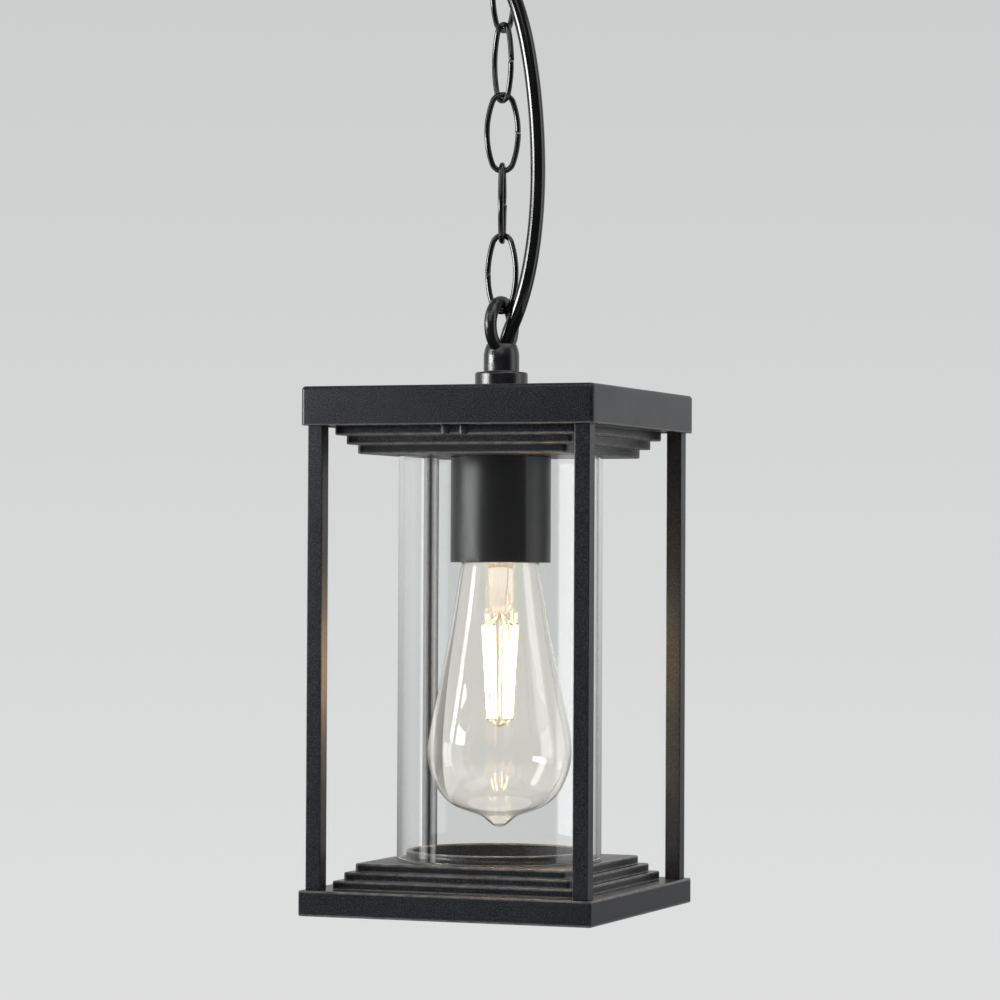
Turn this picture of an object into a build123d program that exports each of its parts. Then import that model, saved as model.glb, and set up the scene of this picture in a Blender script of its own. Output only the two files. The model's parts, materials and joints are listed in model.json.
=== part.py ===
from build123d import *
import math
import os

# Hanging lantern on a short chain, modelled as it hangs from a ceiling.
# Millimetres. +Z is up, z = 0 is the ceiling plane and the Z axis is the plumb line.
# The four faces of the lantern's body look along +X, -X, +Y and -Y.

# ---------------------------------------------------------------- driving sizes
# Body: cap, posts and base
BODY_WIDTH = 135.0            # square plan of the cap and of the base
BODY_HEIGHT = 230.0           # cap's top face to the base's underside
CAP_HEIGHT = 17.0
BASE_HEIGHT = 11.2
SHELL_WALL = 2.2              # skirt wall of the cap and of the base
CASTING_FLOOR = 2.5           # thickness of the flat casting floors and of the collar
CAP_CORNER = 1.8              # rounded upright edges of the cap
CAP_EDGE = 1.6                # rounded upper edges of the cap
BASE_CORNER = 0.9             # rounded upright edges of the base
BASE_EDGE = 0.72              # rounded level edges of the base
POST_SIDE = 7.0
POST_INSET = 2.4              # post's outer face in from the body's face
POST_EDGE = 0.5

# Stepped plates over and under the glass
STEP_INSET = 10.9             # first step in from the body's face
STEP_TREAD = 3.8
STEP_COUNT = 3
TOP_STEP_HEIGHT = 4.0
BASE_STEP_HEIGHT = 3.65
STEP_CORNER = 2.4             # plan radius of the steps' corners
STEP_EDGE = 0.7
PLATE_RECESS = 0.5            # top plate's rim up from the cap's lower edge
PLATE_RIM = 4.0               # thickness of the top plate's flat rim
LUG_RADIUS = 1.9              # rounded lugs cast on the first upper step
LUG_SPACING = 8.4

# Glass cylinder, centred by a groove above it and a collar inside its foot
GLASS_OUTER = 90.8
GLASS_WALL = 1.8
GLASS_EDGE = 0.5              # rounded edges at the cylinder's two ends
GLASS_SEAL = 0.6              # silicone ring under and over the glass
GLASS_GROOVE = 1.7            # depth of the top plate's groove that the glass stands in
GROOVE_ROOM = 0.4             # radial room on each side of the glass in that groove
COLLAR_GAP = 2.4              # radial room between the base's collar and the glass
COLLAR_HEIGHT = 4.3

# Loop castings, one on the ceiling rose and one on the cap
FLANGE_RADIUS = 11.75
FLANGE_HEIGHT = 7.2
FLANGE_EDGE = 1.0
STEM_RADIUS = 7.95
STEM_STRAIGHT = 7.2           # straight part of the stem above the flange
STEM_TAPER = 5.4              # rounded shoulder above that
STEM_TOP_RADIUS = 6.55
STEM_BULGE = 0.3              # share of the shoulder's narrowing reached at half its height
LOOP_HEIGHT = 41.2            # flange's face to the far side of the ring
RING_OUTER = 26.5
RING_WIRE = 5.6
CABLE_BORE = 8.2
MOUTH_TILT = 9.0              # degrees, the bore flares this far both ways
MOUTH_PIVOT = 8.8             # height in the casting where the flare starts
GASKET_THICKNESS = 1.2
GASKET_RADIUS = 11.0

# Hollow threaded nipples and their nuts (M10 x 1)
NIPPLE_DIAMETER = 10.0
NIPPLE_BORE = 8.0
NIPPLE_GRIP = 7.5             # length screwed into a loop casting
NIPPLE_SHOW = 1.0             # length of the upper nipple past its last nut
LANTERN_NIPPLE_SHOW = 0.5
TAPPED_SPARE = 0.5            # a casting's tapped hole deeper than the nipple goes
THREAD_CLEARANCE = 0.05
HOLE_CLEARANCE = 0.25         # radial room round a nipple in a plate
NUT_FLATS = 14.0
NUT_HEIGHT = 3.0

# Chain: formed wire links with a butt seam
LINK_COUNT = 5
LINK_LENGTH = 36.5
LINK_WIDTH = 16.4
LINK_WIRE = 2.5
LINK_END_RADIUS = 4.9         # wire's centre line round each end
LINK_SEAM = 0.15              # gap between the wire's two cut ends
HOOK_GAP = 0.15               # room between two hooked wires
LINK_TURNS = (68.0, -37.0, 26.0, 105.0, 174.0)  # plan angle of each link's seam from +X
CEILING_LOOP_TURN = 0.0
LANTERN_LOOP_TURN = 82.5

# Ceiling rose and what it hides
ROSE_RADIUS = 50.0
ROSE_DEPTH = 25.0
ROSE_WALL = 1.2
ROSE_SHOULDER = 9.0
BRACKET_LENGTH = 86.0
BRACKET_WIDTH = 20.0
BRACKET_THICKNESS = 2.0
BRACKET_DROP = 9.0            # how far the middle is joggled below the ends
BRACKET_MIDDLE = 46.0         # length of the joggled middle
SLOT_SPACING = 66.0
SLOT_WIDTH = 5.0
SLOT_LENGTH = 9.0
TERMINAL_LENGTH = 22.0
TERMINAL_WIDTH = 14.0
TERMINAL_HEIGHT = 10.0
TERMINAL_POLES = 3
TERMINAL_PITCH = 7.0
TERMINAL_OFFSET = 27.0        # terminal block's centre from the plumb line
TERMINAL_EDGE = 1.0
SLEEVE_RADIUS = 2.2
SLEEVE_BORE = 1.3
SLEEVE_CLEARANCE = 0.1
WELL_RADIUS = 1.5             # screw well above each sleeve
WELL_OFFSET = 3.5             # well's distance from the middle of its pole
CLAMP_SCREW_RADIUS = 1.35
CLAMP_SCREW_LENGTH = 2.2
EARTH_OFFSET = 15.0           # earth screw's distance from the plumb line

# Supply cable
CABLE_DIAMETER = 6.6
CORE_DIAMETER = 2.2
CORE_BEND = 2.0
CORE_CIRCLE = 2.3             # cores' distance from the plumb line inside a nipple
CORE_CREST = 2.4              # ceiling down to the cores' highest run
CORE_REACH = 3.0              # cores' drop beside the bracket, out from its edge
CORE_ENTRY = 1.0              # how far a core enters its terminal
CABLE_END = 7.4               # cable's end above the rose's face, inside the nipple
CABLE_EXIT = 19.0             # its last point on the plumb line, out from either casting's seat
CABLE_LOW_END = 2.6           # its lower end below the cap's top, inside the nipple
CABLE_START = (3.5, -9.5, 1.8)      # beside the upper ring: x, y, distance below the ring
CABLE_SWAY = (                # beside the chain: x, y, share of the chain's height from its top
    (12.2, -7.2, 0.198),
    (17.4, -5.6, 0.396),
    (19.2, -4.8, 0.618),
    (17.0, -4.6, 0.816),
)
CABLE_RETURN = (10.8, -3.6, 3.9)    # beside the lower ring: x, y, distance below the ring's top
ARC_SHARE = 0.45              # share of the shorter run that a corner's arc takes

# Lampholder (E27) in its sleeve
CUP_DIAMETER = 44.6
CUP_HEIGHT = 47.2
CUP_WALL = 1.2
CUP_ROOF = 2.0
CUP_LIP = 1.0
CUP_LIP_HEIGHT = 1.6
CUP_EDGE = 0.5
CUP_SCREW_SEAT = 0.8          # thickness of the cup's roof under its screws' heads
HOLDER_DIAMETER = 39.0
HOLDER_DROP = 10.8            # holder's back below the cup's top
HOLDER_HEIGHT = 27.0
HOLDER_WEB = 5.0
HOLDER_EDGE = 1.0
HOLDER_SCREW_GAP = 0.6        # screws' ends above the holder's back
SHELL_BORE = 27.2             # bore of the threaded shell
SHELL_THICKNESS = 0.5
SHELL_LENGTH = 20.0
SHELL_GAP = 1.6               # shell's inner end below the holder's web
BOSS_DIAMETER = 7.0
BOSS_SPACING = 26.0
CONTACT_THICKNESS = 0.6
CONTACT_WIDTH = 5.0
CONTACT_LENGTH = 14.0
TERMINAL_SCREW_OFFSET = 11.0  # holder's terminal blocks from the plumb line
CONTACT_BLOCK_SIDE = 5.0
CONTACT_BLOCK_DEPTH = 3.0     # let into the holder's back
CONTACT_BLOCK_SHOW = 1.5      # standing above it
CONTACT_BLOCK_GAP = 0.1       # room round a block in its pocket
CONTACT_BLOCK_HOLE = 1.8
HOLDER_TERMINAL_REACH = 3.2   # a core's end short of its terminal's middle
HOLDER_CORE_CIRCLE = 2.2      # cores' distance from the plumb line
HOLDER_CORE_DROP = 1.0        # cores' run below the middle of the space over the holder
EARTH_CORE_END = 8.4
EARTH_SCREW_PLACE = 10.6      # in x and in y
EARTH_SCREW_DROP = 2.4        # seat of its head below the cup's roof

# Bulb: ST64 filament lamp with an E27 cap
BULB_GLASS_WALL = 0.8
BULB_SHOULDER = 7.0           # glass above the cup's mouth
BULB_OUTLINE = (              # depth below the cup's mouth, radius
    (0.0, 17.2),
    (28.0, 21.8),
    (60.0, 27.9),
    (84.0, 32.0),
    (99.5, 27.9),
    (107.6, 20.3),
    (112.0, 8.8),
)
BULB_TIP = 117.3              # depth of the sealed tip
BULB_CAP_RADIUS = 13.15
BULB_CAP_LENGTH = 20.0
BULB_CAP_WALL = 0.4
CAP_THREAD_PITCH = 3.6
CAP_THREAD_DEPTH = 0.9
CAP_THREAD_SINK = 0.2         # thread rings' centre line inside the cap's root
CAP_COLLAR = 3.0              # plain band at the cap's open end
CAP_OVERLAP = 1.5             # how far the cap reaches over the glass neck
CAP_END_WALL = 1.0
NECK_INSET = 0.3              # glass neck's radius under the cap's
INSULATOR_INSET = 1.2
INSULATOR_TOP_RADIUS = 6.0
INSULATOR_HEIGHT = 2.2
BULB_CONTACT_HEIGHT = 3.0
BULB_CONTACT_RADIUS = 4.8
BULB_CONTACT_EDGE = 0.5
STEM_GLASS_RADIUS = 5.6
STEM_GLASS_DEPTH = 23.0       # how far the glass stem reaches below the mouth
STEM_FLARE_GAP = 0.3
STEM_RIM = 1.0                # stem's rim above the bulb's seam
STEM_PINCH_HEIGHT = 4.0
STEM_PINCH_RADIUS = 2.6
FILAMENT_COUNT = 6
FILAMENT_RADIUS = 0.9
FILAMENT_TOP = (28.0, 7.6)    # depth, radius of the circle they start on
FILAMENT_FOOT = (69.0, 5.2)
SUPPORT_RADIUS = 0.5
SUPPORT_FOOT = 73.0
SUPPORT_REACH = 0.05          # a spoke's end past its filament's end
SPOKE_DROP = 1.5              # upper spokes' root below the glass stem
FILAMENT_GAP = 0.02

# Screws
SCREW_DIAMETER = 3.0
SCREW_HEAD = 5.6
SCREW_HEAD_HEIGHT = 2.0
SCREW_HEAD_EDGE = 0.8
SCREW_SLOT_WIDTH = 0.8
SCREW_SLOT_DEPTH = 0.9
SCREW_LENGTH = 9.0
TAPPED_DEPTH = 10.0           # tapped holes in the posts' ends
SCREW_CLEARANCE = 0.2

# ---------------------------------------------------------------- derived levels
rose_face = -ROSE_DEPTH
ceiling_ring_low = rose_face - GASKET_THICKNESS - LOOP_HEIGHT
link_pitch = LINK_LENGTH - 2 * LINK_WIRE - HOOK_GAP
first_link_top = ceiling_ring_low + RING_WIRE + HOOK_GAP + LINK_WIRE
link_tops = [first_link_top - i * link_pitch for i in range(LINK_COUNT)]
link_middles = [top - LINK_LENGTH / 2 for top in link_tops]
chain_low = link_tops[-1] - LINK_LENGTH
lantern_ring_top = chain_low + LINK_WIRE + HOOK_GAP + RING_WIRE
cap_top = lantern_ring_top - LOOP_HEIGHT - GASKET_THICKNESS

cable_top = rose_face + CABLE_END
cable_low = cap_top - CABLE_LOW_END
cable_route = [
    (0.0, 0.0, cable_top),
    (0.0, 0.0, rose_face - CABLE_EXIT),
    (CABLE_START[0], CABLE_START[1], ceiling_ring_low - CABLE_START[2]),
    *[(x, y, link_tops[0] + share * (chain_low - link_tops[0])) for x, y, share in CABLE_SWAY],
    (CABLE_RETURN[0], CABLE_RETURN[1], lantern_ring_top - CABLE_RETURN[2]),
    (0.0, 0.0, cap_top + CABLE_EXIT),
    (0.0, 0.0, cable_low),
]

cap_low = cap_top - CAP_HEIGHT
cap_ceiling = cap_top - CASTING_FLOOR
plate_rim_low = cap_low + PLATE_RECESS
plate_low = cap_low - STEP_COUNT * TOP_STEP_HEIGHT
plate_floor = plate_low + CASTING_FLOOR
base_low = cap_top - BODY_HEIGHT
base_top = base_low + BASE_HEIGHT
base_step_top = base_top + STEP_COUNT * BASE_STEP_HEIGHT

glass_low = base_step_top + GLASS_SEAL
glass_top = plate_low + GLASS_GROOVE - GLASS_SEAL
collar_radius = GLASS_OUTER / 2 - GLASS_WALL - COLLAR_GAP
access_radius = collar_radius - CASTING_FLOOR

cup_top = plate_low
cup_mouth = cup_top - CUP_HEIGHT
cup_roof_low = cup_top - CUP_ROOF
holder_back = cup_top - HOLDER_DROP
holder_face = holder_back - HOLDER_WEB
holder_low = holder_back - HOLDER_HEIGHT
shell_radius = SHELL_BORE / 2

bulb_seam = cup_mouth + BULB_SHOULDER
bulb_cap_top = bulb_seam + BULB_CAP_LENGTH
bulb_contact_top = bulb_cap_top + BULB_CONTACT_HEIGHT

hole_radius = NIPPLE_DIAMETER / 2 + HOLE_CLEARANCE
post_centre = BODY_WIDTH / 2 - POST_INSET - POST_SIDE / 2
post_places = [(sx * post_centre, sy * post_centre) for sx in (-1, 1) for sy in (-1, 1)]
post_names = ("front_left", "rear_left", "front_right", "rear_right")

UP = (Align.CENTER, Align.CENTER, Align.MIN)


# ---------------------------------------------------------------- shape helpers
def rod(radius, low, high, at=(0.0, 0.0)):
    """Upright solid cylinder between two heights."""
    return Pos(at[0], at[1], low) * Cylinder(radius, high - low, align=UP)


def pipe(outer, inner, low, high, at=(0.0, 0.0)):
    """Upright tube between two heights."""
    return rod(outer, low, high, at) - rod(inner, low, high, at)


def slab(side, low, high, corner=0.0):
    """Square block centred on the plumb line, with rounded plan corners."""
    outline = RectangleRounded(side, side, corner) if corner > 0 else Rectangle(side, side)
    return Pos(0, 0, low) * extrude(outline, high - low)


def block(length, width, low, high, at=(0.0, 0.0)):
    return Pos(at[0], at[1], low) * Box(length, width, high - low, align=UP)


def hexagon(flats, low, high, at=(0.0, 0.0)):
    outline = RegularPolygon(flats / 2, 6, major_radius=False)
    return Pos(at[0], at[1], low) * extrude(outline, high - low)


def nut(low, at=(0.0, 0.0)):
    body = hexagon(NUT_FLATS, low, low + NUT_HEIGHT, at)
    return body - rod(NIPPLE_DIAMETER / 2 + THREAD_CLEARANCE, low, low + NUT_HEIGHT, at)


def pan_screw(at, seat, direction):
    """Pan-head screw: the head stands on its seat, the shank runs along direction (+1 up, -1 down)."""
    shank_end = seat + direction * SCREW_LENGTH
    head_end = seat - direction * SCREW_HEAD_HEIGHT
    shank = rod(SCREW_DIAMETER / 2, min(seat, shank_end), max(seat, shank_end), at)
    head = rod(SCREW_HEAD / 2, min(seat, head_end), max(seat, head_end), at)
    crown = 0 if direction > 0 else -1
    head = fillet(head.edges().filter_by(GeomType.CIRCLE).sort_by(Axis.Z)[crown], SCREW_HEAD_EDGE)
    slot_floor = head_end + direction * SCREW_SLOT_DEPTH
    slot = block(SCREW_HEAD, SCREW_SLOT_WIDTH, min(head_end, slot_floor), max(head_end, slot_floor), at)
    return shank + head - slot


def step_sides():
    return [BODY_WIDTH - 2 * (STEP_INSET + i * STEP_TREAD) for i in range(STEP_COUNT)]


def swept_wire(points, radius, bends):
    """Round wire along straight runs joined by tangent arcs."""
    path = FilletPolyline(*points, radius=bends)
    start = Plane(origin=path @ 0, z_dir=path % 0)
    return sweep(start * Circle(radius), path=path)


# ---------------------------------------------------------------- loop castings
def loop_casting():
    """Flange, stem and ring in one casting, standing on z = 0 with its ring along X."""
    flange = rod(FLANGE_RADIUS, 0, FLANGE_HEIGHT)
    flange = fillet(flange.edges().filter_by(GeomType.CIRCLE).sort_by(Axis.Z)[-1], FLANGE_EDGE)
    shoulder = FLANGE_HEIGHT + STEM_STRAIGHT
    stem_top = shoulder + STEM_TAPER
    side = Polyline((0, 0), (STEM_RADIUS, 0), (STEM_RADIUS, shoulder))
    bend = ThreePointArc(
        (STEM_RADIUS, shoulder),
        (STEM_RADIUS - STEM_BULGE * (STEM_RADIUS - STEM_TOP_RADIUS), shoulder + STEM_TAPER / 2),
        (STEM_TOP_RADIUS, stem_top),
    )
    close = Polyline((STEM_TOP_RADIUS, stem_top), (0, stem_top), (0, 0))
    stem = revolve(Plane.XZ * make_face(side + bend + close), axis=Axis.Z)
    ring_centre = LOOP_HEIGHT - RING_OUTER / 2
    ring = Pos(0, 0, ring_centre) * Rot(90, 0, 0) * Torus(RING_OUTER / 2 - RING_WIRE / 2, RING_WIRE / 2)
    casting = flange + stem + ring
    casting -= rod(NIPPLE_DIAMETER / 2 + THREAD_CLEARANCE, 0, NIPPLE_GRIP + TAPPED_SPARE)
    reach = stem_top + RING_WIRE / 2
    for tilt in (0, -MOUTH_TILT, MOUTH_TILT):
        bore = Pos(0, 0, MOUTH_PIVOT) * Rot(tilt, 0, 0) * rod(CABLE_BORE / 2, 0, reach - MOUTH_PIVOT)
        casting -= bore
    return casting - rod(CABLE_BORE / 2, 0, MOUTH_PIVOT + RING_WIRE / 2)


def ceiling_loop():
    seat = rose_face - GASKET_THICKNESS
    return Pos(0, 0, seat) * Rot(0, 0, CEILING_LOOP_TURN) * Rot(180, 0, 0) * loop_casting()


def lantern_loop():
    seat = cap_top + GASKET_THICKNESS
    return Pos(0, 0, seat) * Rot(0, 0, LANTERN_LOOP_TURN) * loop_casting()


def gasket(low):
    return pipe(GASKET_RADIUS, hole_radius, low, low + GASKET_THICKNESS)


# ---------------------------------------------------------------- chain
def link_solid():
    """Four-arc oval of round wire in the XZ plane, centred, with its seam on the +X leg."""
    half_length = (LINK_LENGTH - LINK_WIRE) / 2
    half_width = (LINK_WIDTH - LINK_WIRE) / 2
    end_centre = half_length - LINK_END_RADIUS
    side_radius = (end_centre**2 + half_width**2 - LINK_END_RADIUS**2) / (
        2 * (half_width - LINK_END_RADIUS)
    )
    side_centre = side_radius - half_width
    phi = math.degrees(math.atan2(end_centre, side_centre))
    seam = math.degrees(LINK_SEAM / 2 / side_radius)
    arcs = [
        CenterArc((-side_centre, 0), side_radius, seam, phi - seam),
        CenterArc((0, end_centre), LINK_END_RADIUS, phi, 180 - 2 * phi),
        CenterArc((side_centre, 0), side_radius, 180 - phi, 2 * phi),
        CenterArc((0, -end_centre), LINK_END_RADIUS, 180 + phi, 180 - 2 * phi),
        CenterArc((-side_centre, 0), side_radius, 360 - phi, phi - seam),
    ]
    path = Wire([arc.edge() for arc in arcs])
    section = Plane(origin=path @ 0, z_dir=path % 0) * Circle(LINK_WIRE / 2)
    return Rot(90, 0, 0) * sweep(section, path=path)


def chain_link(index):
    return Pos(0, 0, link_middles[index]) * Rot(0, 0, LINK_TURNS[index]) * link_solid()


# ---------------------------------------------------------------- ceiling fitting
def ceiling_rose():
    """Round dished cover with a soft shoulder, open to the ceiling."""
    outer = rod(ROSE_RADIUS, rose_face, 0)
    outer = fillet(outer.edges().filter_by(GeomType.CIRCLE).sort_by(Axis.Z)[0], ROSE_SHOULDER)
    inner = rod(ROSE_RADIUS - ROSE_WALL, rose_face + ROSE_WALL, 0)
    inner_shoulder = ROSE_SHOULDER - ROSE_WALL
    inner = fillet(inner.edges().filter_by(GeomType.CIRCLE).sort_by(Axis.Z)[0], inner_shoulder)
    return outer - inner - rod(hole_radius, rose_face, rose_face + ROSE_WALL)


def ceiling_bracket():
    """Joggled steel strap: slotted ends on the ceiling, lowered middle for the nipple."""
    low = -BRACKET_DROP - BRACKET_THICKNESS
    half = BRACKET_LENGTH / 2
    middle = BRACKET_MIDDLE / 2
    t = BRACKET_THICKNESS
    profile = Polyline(
        (-half, -t), (-middle - t, -t), (-middle - t, low), (middle + t, low), (middle + t, -t),
        (half, -t), (half, 0), (middle, 0), (middle, -BRACKET_DROP), (-middle, -BRACKET_DROP),
        (-middle, 0), (-half, 0), close=True,
    )
    strap = extrude(Plane.XZ * make_face(profile), BRACKET_WIDTH / 2, both=True)
    for side in (-1, 1):
        slot = extrude(SlotOverall(SLOT_LENGTH, SLOT_WIDTH), BRACKET_THICKNESS)
        strap -= Pos(side * SLOT_SPACING / 2, 0, -BRACKET_THICKNESS) * slot
    strap -= rod(hole_radius, low, -BRACKET_DROP)
    return strap - rod(SCREW_DIAMETER / 2 + THREAD_CLEARANCE, low, -BRACKET_DROP, (EARTH_OFFSET, 0))


def ceiling_nipple():
    low = rose_face - GASKET_THICKNESS - NIPPLE_GRIP
    high = -BRACKET_DROP + NUT_HEIGHT + NIPPLE_SHOW
    return pipe(NIPPLE_DIAMETER / 2, NIPPLE_BORE / 2, low, high)


def ceiling_nuts():
    """One nut on each side of the bracket, and one inside the rose."""
    levels = (-BRACKET_DROP, -BRACKET_DROP - BRACKET_THICKNESS - NUT_HEIGHT, rose_face + ROSE_WALL)
    return [nut(level) for level in levels]


def terminal_block():
    """Three-pole block on the rose's floor, with a through hole for each pole's sleeve."""
    low = rose_face + ROSE_WALL
    body = block(TERMINAL_LENGTH, TERMINAL_WIDTH, low, low + TERMINAL_HEIGHT, (0, TERMINAL_OFFSET))
    body = chamfer(body.edges().filter_by(Axis.Z), TERMINAL_EDGE)
    middle = low + TERMINAL_HEIGHT / 2
    for x in pole_places():
        bore = Cylinder(SLEEVE_RADIUS + SLEEVE_CLEARANCE, TERMINAL_WIDTH)
        body -= Pos(x, TERMINAL_OFFSET, middle) * Rot(90, 0, 0) * bore
        body -= rod(WELL_RADIUS, middle, low + TERMINAL_HEIGHT, (x, TERMINAL_OFFSET + WELL_OFFSET))
    return body


def pole_places():
    first = -(TERMINAL_POLES - 1) / 2
    return [(first + i) * TERMINAL_PITCH for i in range(TERMINAL_POLES)]


def terminal_sleeves():
    """Brass sleeve in each pole; the wire comes in from the plumb line's side."""
    middle = rose_face + ROSE_WALL + TERMINAL_HEIGHT / 2
    sleeves = []
    for x in pole_places():
        length = TERMINAL_WIDTH - 2 * TERMINAL_EDGE
        sleeve = Cylinder(SLEEVE_RADIUS, length) - Cylinder(SLEEVE_BORE, length)
        sleeves.append(Pos(x, TERMINAL_OFFSET, middle) * Rot(90, 0, 0) * sleeve)
    return sleeves


def terminal_screws():
    """Clamping screw of each pole, standing in its well above the sleeve."""
    low = rose_face + ROSE_WALL + TERMINAL_HEIGHT / 2 + SLEEVE_RADIUS + SLEEVE_CLEARANCE
    high = low + CLAMP_SCREW_LENGTH
    return [rod(CLAMP_SCREW_RADIUS, low, high, (x, TERMINAL_OFFSET + WELL_OFFSET)) for x in pole_places()]


def ceiling_earth_screw():
    return pan_screw((EARTH_OFFSET, 0), -BRACKET_DROP - BRACKET_THICKNESS, 1)


def ceiling_cores():
    """Three stripped cores: up out of the nipple, over and down to the terminal block."""
    middle = rose_face + ROSE_WALL + TERMINAL_HEIGHT / 2
    near = BRACKET_WIDTH / 2 + CORE_REACH
    end = TERMINAL_OFFSET - TERMINAL_WIDTH / 2 + CORE_ENTRY
    cores = []
    for i, x in enumerate(pole_places()):
        angle = math.radians(90 - 120 * (i - 1))
        x0, y0 = CORE_CIRCLE * math.cos(angle), CORE_CIRCLE * math.sin(angle)
        points = [(x0, y0, cable_top), (x0, y0, -CORE_CREST), (x, near, -CORE_CREST),
                  (x, near, middle), (x, end, middle)]
        cores.append(swept_wire(points, CORE_DIAMETER / 2, CORE_BEND))
    return cores


# ---------------------------------------------------------------- cable
def cable_tube():
    """The whole cable on straight runs joined by tangent arcs, with each arc's radius printed."""
    points = [Vector(*p) for p in cable_route]
    radii = []
    for before, corner, after in zip(points, points[1:], points[2:]):
        turn = (corner - before).get_angle(after - corner)
        shorter = min((corner - before).length, (after - corner).length)
        radii.append(ARC_SHARE * shorter / math.tan(math.radians(turn) / 2))
    path = FilletPolyline(*cable_route, radius=radii)
    start = Plane(origin=path @ 0, z_dir=path % 0)
    tube = sweep(start * Circle(CABLE_DIAMETER / 2), path=path)
    print("cable arc radii", [round(r, 1) for r in radii], "length", round(path.length, 1))
    print("cable volume over section x length",
          round(tube.volume / (math.pi * CABLE_DIAMETER**2 / 4 * path.length), 5))
    return tube


def cable_spans():
    """The cable parted at the middle of each link, so that each span crosses one chain joint."""
    tube = cable_tube()
    levels = [0.0] + link_middles + [base_low]
    spans = []
    for high, low in zip(levels, levels[1:]):
        spans.append(tube & block(BODY_WIDTH, BODY_WIDTH, low, high))
    return spans


# ---------------------------------------------------------------- lantern body
def roof_cap():
    """Square cap, open below, with the nipple's hole in its middle."""
    cap = slab(BODY_WIDTH, cap_low, cap_top, CAP_CORNER)
    cap = fillet(cap.faces().sort_by(Axis.Z)[-1].edges(), CAP_EDGE)
    cap -= slab(BODY_WIDTH - 2 * SHELL_WALL, cap_low, cap_ceiling)
    return cap - rod(hole_radius, cap_ceiling, cap_top)


def top_plate():
    """Stepped tray under the cap, hollow from above, with the glass's groove in its underside."""
    rim_side = BODY_WIDTH - 2 * POST_INSET
    plate = slab(rim_side, plate_rim_low, plate_rim_low + PLATE_RIM)
    for i, side in enumerate(step_sides()):
        low = cap_low - (i + 1) * TOP_STEP_HEIGHT
        step = slab(side, low, plate_rim_low + PLATE_RIM, STEP_CORNER)
        plate += fillet(step.faces().sort_by(Axis.Z)[0].edges(), STEP_EDGE)
    for i, side in enumerate(step_sides()):
        low = cap_low - (i + 1) * TOP_STEP_HEIGHT + CASTING_FLOOR
        plate -= slab(side - 2 * CASTING_FLOOR, low, plate_rim_low + PLATE_RIM, STEP_CORNER / 2)
    groove_outer = GLASS_OUTER / 2 + GROOVE_ROOM
    groove_inner = GLASS_OUTER / 2 - GLASS_WALL - GROOVE_ROOM
    plate -= pipe(groove_outer, groove_inner, plate_low, plate_low + GLASS_GROOVE)
    first_face = step_sides()[0] / 2
    for side in (-1, 1):
        for across in (-1, 1):
            place = (across * LUG_SPACING / 2, side * first_face)
            plate += rod(LUG_RADIUS, cap_low - TOP_STEP_HEIGHT, plate_rim_low, place)
    plate -= rod(hole_radius, plate_low, plate_floor)
    for at in post_places:
        plate -= rod(SCREW_DIAMETER / 2 + SCREW_CLEARANCE, plate_rim_low, plate_rim_low + PLATE_RIM, at)
    return plate


def post(at):
    """Square post, tapped at both ends."""
    low, high = base_top, plate_rim_low
    bar = block(POST_SIDE, POST_SIDE, low, high, at)
    bar = fillet(bar.edges().filter_by(Axis.Z), POST_EDGE)
    tapped = SCREW_DIAMETER / 2 + THREAD_CLEARANCE
    bar -= rod(tapped, low, low + TAPPED_DEPTH, at)
    return bar - rod(tapped, high - TAPPED_DEPTH, high, at)


def top_post_screws():
    return [pan_screw(at, plate_rim_low + PLATE_RIM, -1) for at in post_places]


def base_plate():
    """Square base with three steps up to the glass, hollow below, open through its middle."""
    base = slab(BODY_WIDTH, base_low, base_top, BASE_CORNER)
    outline = base.faces().sort_by(Axis.Z)[-1].edges() + base.faces().sort_by(Axis.Z)[0].edges()
    base = fillet(outline, BASE_EDGE)
    base -= slab(BODY_WIDTH - 2 * SHELL_WALL, base_low, base_top - CASTING_FLOOR)
    for i, side in enumerate(step_sides()):
        high = base_top + (i + 1) * BASE_STEP_HEIGHT
        step = slab(side, base_top - CASTING_FLOOR, high, STEP_CORNER)
        base += fillet(step.faces().sort_by(Axis.Z)[-1].edges(), STEP_EDGE)
    for i, side in enumerate(step_sides()):
        high = base_top + (i + 1) * BASE_STEP_HEIGHT - CASTING_FLOOR
        base -= slab(side - 2 * CASTING_FLOOR, base_low, high, STEP_CORNER / 2)
    base += rod(collar_radius, base_low + SHELL_WALL, base_step_top + COLLAR_HEIGHT)
    base -= rod(access_radius, base_low, base_step_top + COLLAR_HEIGHT)
    for at in post_places:
        base -= rod(SCREW_DIAMETER / 2 + SCREW_CLEARANCE, base_top - CASTING_FLOOR, base_top, at)
    return base


def base_post_screws():
    return [pan_screw(at, base_top - CASTING_FLOOR, 1) for at in post_places]


def glass_cylinder():
    outer = GLASS_OUTER / 2
    glass = pipe(outer, outer - GLASS_WALL, glass_low, glass_top)
    return fillet(glass.edges().filter_by(GeomType.CIRCLE), GLASS_EDGE)


def glass_seal(low):
    outer = GLASS_OUTER / 2
    return pipe(outer, outer - GLASS_WALL, low, low + GLASS_SEAL)


def lantern_nipple():
    low = cup_roof_low - NUT_HEIGHT - LANTERN_NIPPLE_SHOW
    high = cap_top + GASKET_THICKNESS + NIPPLE_GRIP
    return pipe(NIPPLE_DIAMETER / 2, NIPPLE_BORE / 2, low, high)


def lantern_nuts():
    """Nuts under the cap, on the top plate's floor and under the cup's roof."""
    return [nut(cap_ceiling - NUT_HEIGHT), nut(plate_floor), nut(cup_roof_low - NUT_HEIGHT)]


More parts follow.
